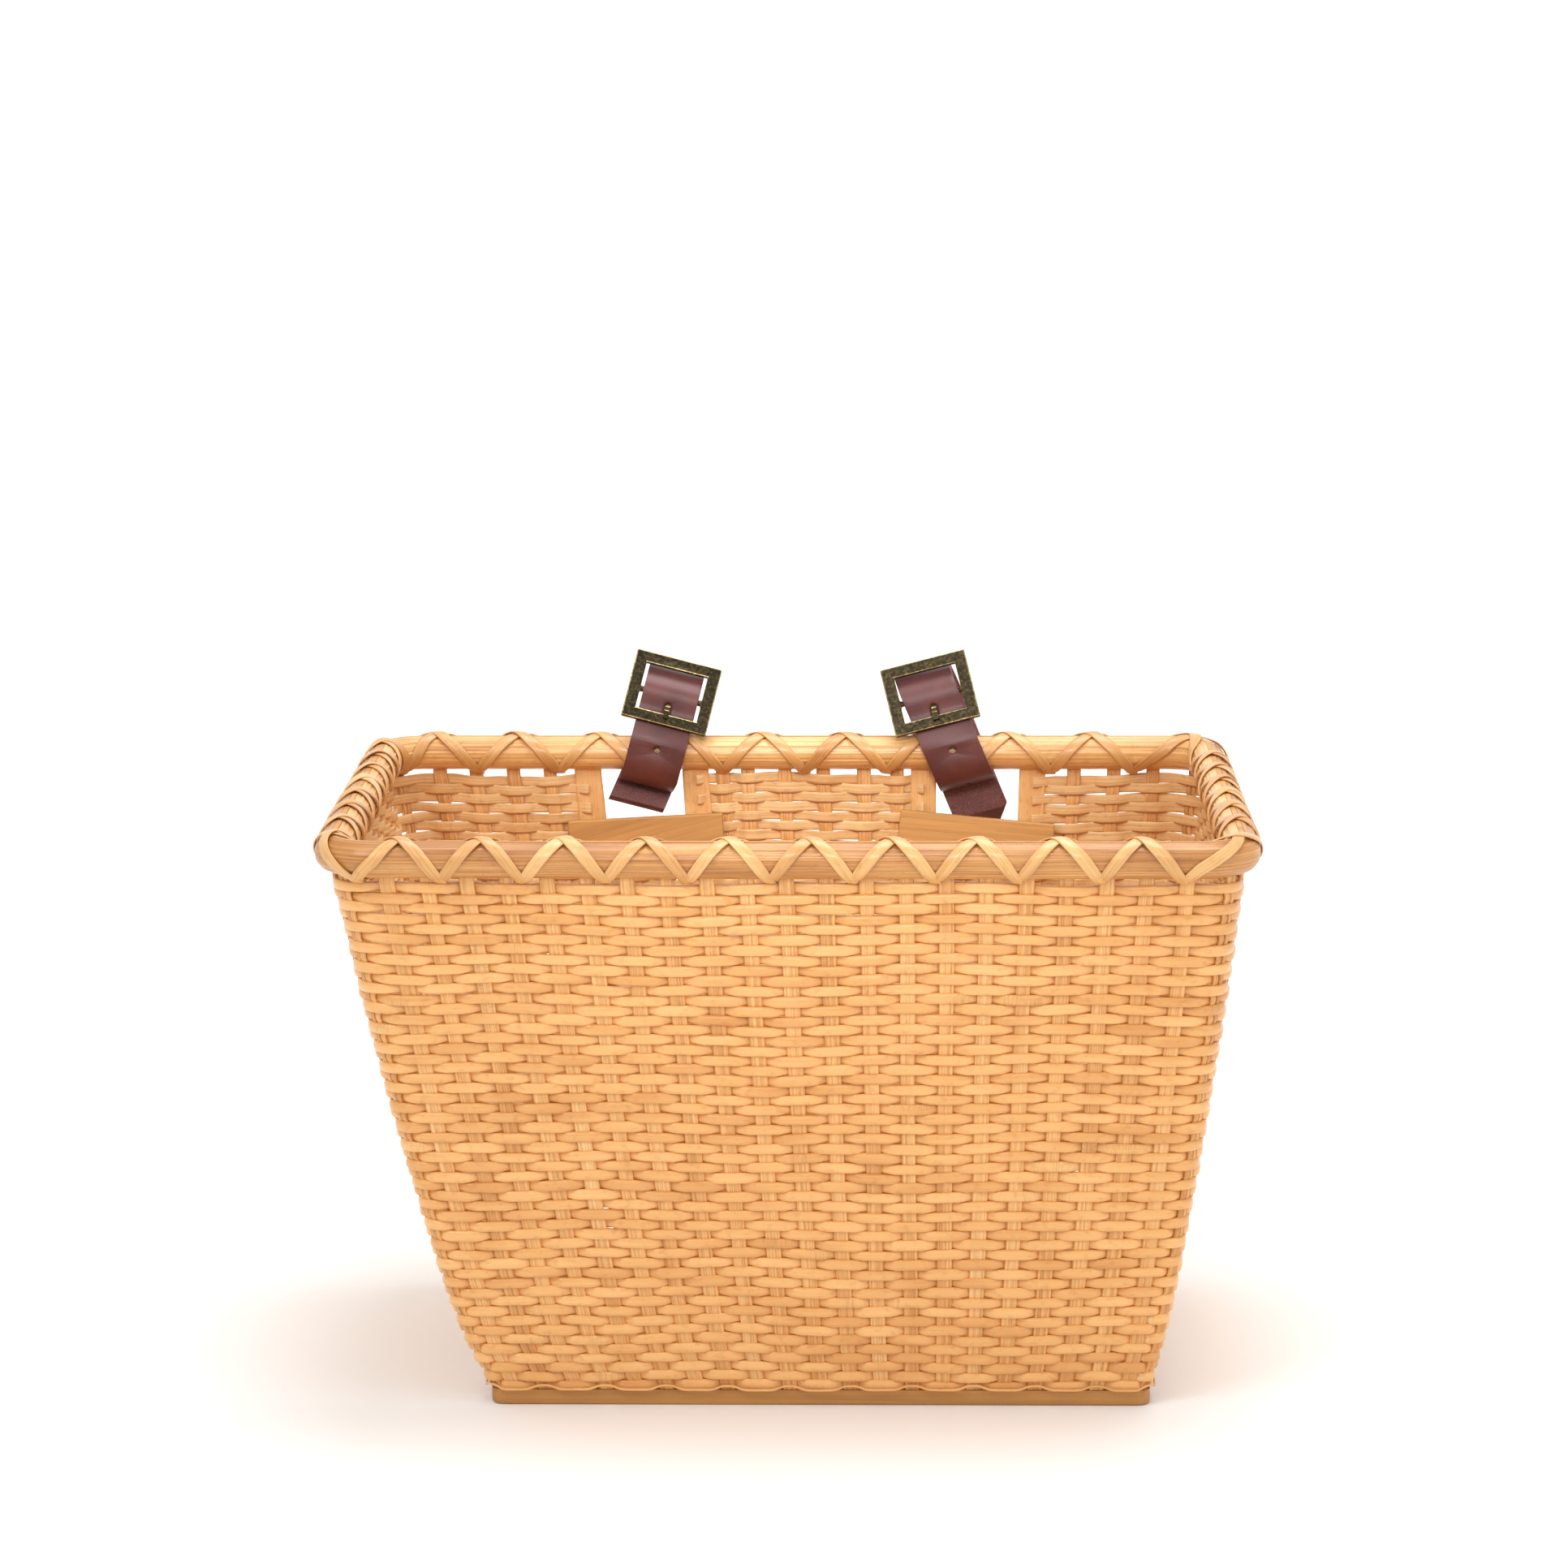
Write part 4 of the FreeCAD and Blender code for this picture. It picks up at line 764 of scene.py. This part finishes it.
def wrap_places():
    """Distances round the mouth at which the lashing passes below the hoops."""
    _, _, _, total = mouth_path(2.6 * MM)
    quarter = math.pi / 2 * RIM_CORNER_R
    straight_x = 2 * (HALF_X - RIM_CORNER_R)
    straight_y = 2 * (HALF_Y - RIM_CORNER_R)
    places = []
    start = quarter
    for straight, (turns, pitches, first) in ((straight_x, BACK_WRAPS), (straight_y, SIDE_WRAPS),
                                              (straight_x, FRONT_WRAPS), (straight_y, SIDE_WRAPS)):
        places += [start + straight * (k + first) / pitches for k in range(turns)]
        start += straight + quarter
    return places, total


def ribbon_section():
    """Flat cane with rounded edges and a low crown, as across and out."""
    across = np.linspace(-1, 1, 9)
    top = np.stack([across * LASH_W / 2, LASH_T * (1 - 0.35 * across ** 2)], 1)
    bottom = np.stack([across[::-1] * LASH_W / 2, np.full(9, 0.05 * MM)], 1)
    return np.vstack([top, bottom])


def lash_turn(start, end, rising_outside, rng, plan_tools):
    """One turn of the lashing: up from below the hoops, over the top, and down to the next place."""
    points, outs, along_rim, total = plan_tools
    count = 46
    t = np.linspace(0, 1, count)
    theta = -math.pi / 2 + 2 * math.pi * t
    if not rising_outside:
        theta = -math.pi / 2 - 2 * math.pi * t
    rise = 1 - np.abs(2 * t - 1)
    gained = 0.3 * (1 - np.cos(math.pi * rise)) / 2 + 0.7 * rise ** 1.8
    distance = (start + (end - start) * np.where(t < 0.5, gained / 2, 1 - gained / 2)) % total
    wrapped = np.append(along_rim, total)

    def around(values):
        return np.stack([np.interp(distance, wrapped, np.append(values[:, k], values[0, k]))
                         for k in (0, 1)], 1)

    plan, out = around(points), around(outs)
    out = out / np.linalg.norm(out, axis=1)[:, None]
    lift = 0.0 if rising_outside else LASH_T
    over_the_top = np.exp(-(((t - 0.5) / 0.075) ** 2))
    below_the_hoops = np.exp(-((t / 0.06) ** 2)) + np.exp(-(((1 - t) / 0.06) ** 2))
    radius = LASH_R - LASH_T * 1.05 + lift * np.clip(over_the_top + below_the_hoops, 0, 1) * 0.9
    roll = 0.13 * smooth_noise(rng, count, 9, False)
    radius = radius + LASH_W / 2 * np.abs(np.sin(roll)) * 0.8
    up = np.array([0.0, 0.0, 1.0])
    out3 = np.concatenate([out, np.zeros((count, 1))], 1)
    radial = out3 * np.cos(theta)[:, None] + up * np.sin(theta)[:, None]
    centre = np.concatenate([plan, np.full((count, 1), RIM_Z)], 1) + radial * radius[:, None]
    run = np.gradient(centre, axis=0)
    run /= np.linalg.norm(run, axis=1)[:, None]
    side = np.cross(run, radial)
    side /= np.linalg.norm(side, axis=1)[:, None]
    tilt_in, tilt_out = np.cos(roll)[:, None], np.sin(roll)[:, None]
    side, radial = side * tilt_in + radial * tilt_out, radial * tilt_in - side * tilt_out
    section = ribbon_section()
    width = 1 + 0.07 * smooth_noise(rng, count, 14, False)
    rings = (centre[:, None, :] + side[:, None, :] * (section[None, :, 0] * width[:, None])[:, :, None]
             + radial[:, None, :] * section[None, :, 1, None])
    length = np.concatenate([[0.0], np.cumsum(np.linalg.norm(np.diff(centre, axis=0), axis=1))])
    return rings, length, np.repeat(section[None, :, 0], count, 0)


def build_lashing():
    """The two courses of the lashing, one over the other where they cross."""
    rng = random_for("lashing")
    places, total = wrap_places()
    plan_tools = mouth_path(2.6 * MM)
    for rising_outside, name in ((True, "rim_lashing_first"), (False, "rim_lashing_second")):
        tubes = Tubes()
        for number, start in enumerate(places):
            end = places[(number + 1) % len(places)]
            if end < start:
                end += total
            rings, along, across = lash_turn(start, end, rising_outside, rng, plan_tools)
            tubes.add(rings, along + number, across, number * 1.3, False)
        piece = tubes.build(name, CANE_LASH)
        finish_piece(piece, "basket", "lashing_cane", *(("rim_lashing",) if rising_outside else ()))


# ---------------------------------------------------------------- the foot strand
def build_foot_strand():
    """A thin strand round the foot that dips below every other stake."""
    rng = random_for("foot_strand")
    z = WEAVE_FOOT_Z + 1.4 * MM
    points = np.array([u.at(z) for u in UPRIGHTS])
    plan, heading = spline_through(points, 8, True)
    wave = eased_wave([1 if k % 2 == 0 else -1 for k in range(len(UPRIGHTS))], 8, True)
    outward = np.stack([heading[:, 1], -heading[:, 0]], 1)
    radius = 0.5 * MM
    centre = plan + outward * (2.9 * MM + 0.45 * MM * wave[:, None])
    centre_z = z - 0.15 * MM - 0.7 * MM * wave + 0.15 * MM * smooth_noise(rng, len(wave), 20)
    angles = np.linspace(0, 2 * math.pi, 9)[:-1]
    out = radius * np.cos(angles)[None, :]
    x = centre[:, 0:1] + outward[:, 0:1] * out
    y = centre[:, 1:2] + outward[:, 1:2] * out
    ring_z = centre_z[:, None] + radius * np.sin(angles)[None, :]
    tubes = Tubes()
    along = np.cumsum(np.linalg.norm(np.diff(plan, axis=0, append=plan[:1]), axis=1))
    across = np.repeat((radius * angles)[None, :], len(wave), 0)
    tubes.add(np.stack([x, y, ring_z], -1), along, across, 5.0, True)
    finish_piece(tubes.build("foot_strand_cane", CANE_WEAVE), "basket", "weave_cane", "foot_strand")


# ---------------------------------------------------------------- straps and buckles
def merged_copy(node, name):
    """A copy of a CAD node with its doubled points joined, free to be reshaped."""
    piece = nodes[node].copy()
    piece.data = nodes[node].data.copy()
    piece.name = name
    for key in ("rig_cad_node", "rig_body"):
        if key in piece:
            del piece[key]
    piece.parent = None
    bpy.context.scene.collection.objects.link(piece)
    weld = piece.modifiers.new("weld", "WELD")
    weld.merge_threshold = 0.00001
    return piece


def bake_modifiers(piece):
    graph = bpy.context.evaluated_depsgraph_get()
    mesh = bpy.data.meshes.new_from_object(piece.evaluated_get(graph))
    piece.modifiers.clear()
    piece.data = mesh


def round_edges(piece, width, segments):
    bevel = piece.modifiers.new("round", "BEVEL")
    bevel.width = width
    bevel.segments = segments
    bevel.limit_method = "ANGLE"
    bevel.angle_limit = math.radians(40)


def strap_along(side):
    """The direction of a strap's width: the way its handlebar mount points, held to the right."""
    for mount in frame["record"]["mounts"]:
        if mount["name"] == "handlebar_" + side:
            axis = Vector(mount["axis"])
            return axis if axis.x > 0 else -axis
    raise RuntimeError("no handlebar mount on the " + side)


def build_strap(side):
    piece = merged_copy("strap_" + side, "leather_strap_" + side)
    round_edges(piece, 0.35 * MM, 2)
    bake_modifiers(piece)
    mesh = piece.data
    mesh.materials.clear()
    for material in (LEATHER_FACE, LEATHER_FLESH, LEATHER_EDGE):
        mesh.materials.append(material)
    along = strap_along(side)
    rim = Vector(next(j["pos_m"] for j in frame["joints"] if j["name"] == f"strap_{side}_swing"))
    bar = Vector(next(m["pos_m"] for m in frame["record"]["mounts"] if m["name"] == "handlebar_" + side))
    run = bar - rim
    for face in mesh.polygons:
        face.use_smooth = abs(face.normal.dot(along)) < 0.7
        if abs(face.normal.dot(along)) > 0.5:
            face.material_index = 2
            continue
        part = min(1.0, max(0.0, (face.center - rim).dot(run) / run.dot(run)))
        outward = face.center - (rim + run * part)
        face.material_index = 0 if face.normal.dot(outward) > 0 else 1
    finish_piece(piece, "strap_" + side, "strap_leather", "strap_" + side)


def widest_normal(mesh):
    """The direction that most of a flat plate faces."""
    broadest = max(mesh.polygons, key=lambda face: face.area)
    return broadest.normal.copy()


def brighten_round_edges(mesh, along, facing):
    """Lighter brass on every face that turns away from the piece's three main directions."""
    length = along.cross(facing)
    for face in mesh.polygons:
        aligned = max(abs(face.normal.dot(direction)) for direction in (along, facing, length))
        face.material_index = 1 if aligned < 0.985 else 0


def build_buckle(side):
    along = strap_along(side)
    facing = widest_normal(nodes["buckle_frame_" + side].data)
    for node, body, name in (("buckle_frame_" + side, "buckle_" + side, "brass_frame_" + side),
                             ("prong_" + side, "prong_" + side, "brass_prong_" + side)):
        piece = merged_copy(node, name)
        round_edges(piece, (0.45 if body.startswith("buckle") else 0.22) * MM, 2)
        bake_modifiers(piece)
        piece.data.materials.clear()
        piece.data.materials.append(BRASS_DARK)
        piece.data.materials.append(BRASS_BRIGHT_EDGE)
        brighten_round_edges(piece.data, along, facing)
        finish_piece(piece, body, "buckle_brass", node)


# ---------------------------------------------------------------- CAD nodes that only take a material
def give_material(node, material):
    nodes[node].data.materials.clear()
    nodes[node].data.materials.append(material)


def dress_cad_nodes():
    give_material("base_board", WOOD_BOARD)
    give_material("window_block_left", WOOD_BLOCK_LEFT)
    give_material("window_block_right", WOOD_BLOCK_RIGHT)
    give_material("block_brads_left", STEEL)
    give_material("block_brads_right", STEEL)
    give_material("rim_filler", CANE_FILLER)


# ---------------------------------------------------------------- camera, floor and light
def build_camera():
    data = bpy.data.cameras.new("camera")
    data.angle = math.radians(17.43)
    data.clip_start = 0.1
    camera = bpy.data.objects.new("camera", data)
    camera.location = (0.0209, -1.9716, 0.578)
    aim = Euler((math.radians(90 - 10.13), 0.0, math.radians(1.04))).to_matrix()
    roll = Matrix.Rotation(math.radians(-0.16), 3, "Z")
    camera.rotation_euler = (aim @ roll).to_euler()
    bpy.context.scene.collection.objects.link(camera)
    bpy.context.scene.camera = camera


def build_floor():
    mesh = bpy.data.meshes.new("floor")
    far, back, tall = 6.0, 3.0, 5.0
    profile = [(-far, 0.0), (back - 1.0, 0.0)]
    profile += [(back - 1.0 + math.sin(a), 1.0 - math.cos(a)) for a in np.linspace(0.1, math.pi / 2, 12)]
    profile += [(back, tall)]
    points = [(x, y, z) for y, z in profile for x in (-far, far)]
    faces = [(2 * k, 2 * k + 1, 2 * k + 3, 2 * k + 2) for k in range(len(profile) - 1)]
    mesh.from_pydata(points, [], faces)
    mesh.polygons.foreach_set("use_smooth", [True] * len(faces))
    material, tree_nodes, _ = new_material("floor")
    tree_nodes["Principled BSDF"].inputs["Base Color"].default_value = (0.93, 0.93, 0.92, 1)
    tree_nodes["Principled BSDF"].inputs["Roughness"].default_value = 0.9
    mesh.materials.append(material)
    floor = bpy.data.objects.new("floor", mesh)
    bpy.context.scene.collection.objects.link(floor)


def area_light(name, place, target, size, power):
    data = bpy.data.lights.new(name, "AREA")
    data.shape = "DISK"
    data.size = size
    data.energy = power
    light = bpy.data.objects.new(name, data)
    light.location = place
    light.rotation_euler = (Vector(target) - Vector(place)).to_track_quat("-Z", "Y").to_euler()
    bpy.context.scene.collection.objects.link(light)


def inside_light(place, target, cone_deg, power):
    """A soft beam over the front rim, on the inside of the back wall."""
    data = bpy.data.lights.new("inside", "SPOT")
    data.spot_size = math.radians(cone_deg)
    data.spot_blend = 0.8
    data.shadow_soft_size = 0.12
    data.energy = power
    light = bpy.data.objects.new("inside", data)
    light.location = place
    light.rotation_euler = (Vector(target) - Vector(place)).to_track_quat("-Z", "Y").to_euler()
    bpy.context.scene.collection.objects.link(light)


def build_light():
    world = bpy.data.worlds.new("studio")
    world.use_nodes = True
    world.node_tree.nodes["Background"].inputs["Color"].default_value = (1.0, 0.995, 0.985, 1)
    world.node_tree.nodes["Background"].inputs["Strength"].default_value = 0.80
    bpy.context.scene.world = world
    bpy.context.scene.view_settings.view_transform = "Standard"
    centre = (0.0, 0.0, 0.12)
    area_light("key", (-1.0, -1.3, 1.8), centre, 1.0, 12.0)
    area_light("top", (0.2, 0.2, 1.9), centre, 1.1, 18.0)
    area_light("backdrop", (0.0, 1.4, 1.2), (0.0, 2.7, 0.25), 1.6, 8.0)
    area_light("fill", (1.7, -1.1, 0.9), centre, 1.4, 6.0)
    inside_light((0.0, -0.9, 0.8), (0.0, 0.115, 0.185), 17.0, 22.0)


build_camera()
build_floor()
build_light()
build_weave()
build_uprights()
build_hoops()
build_lashing()
build_foot_strand()
for strap_side in ("left", "right"):
    build_strap(strap_side)
    build_buckle(strap_side)
dress_cad_nodes()
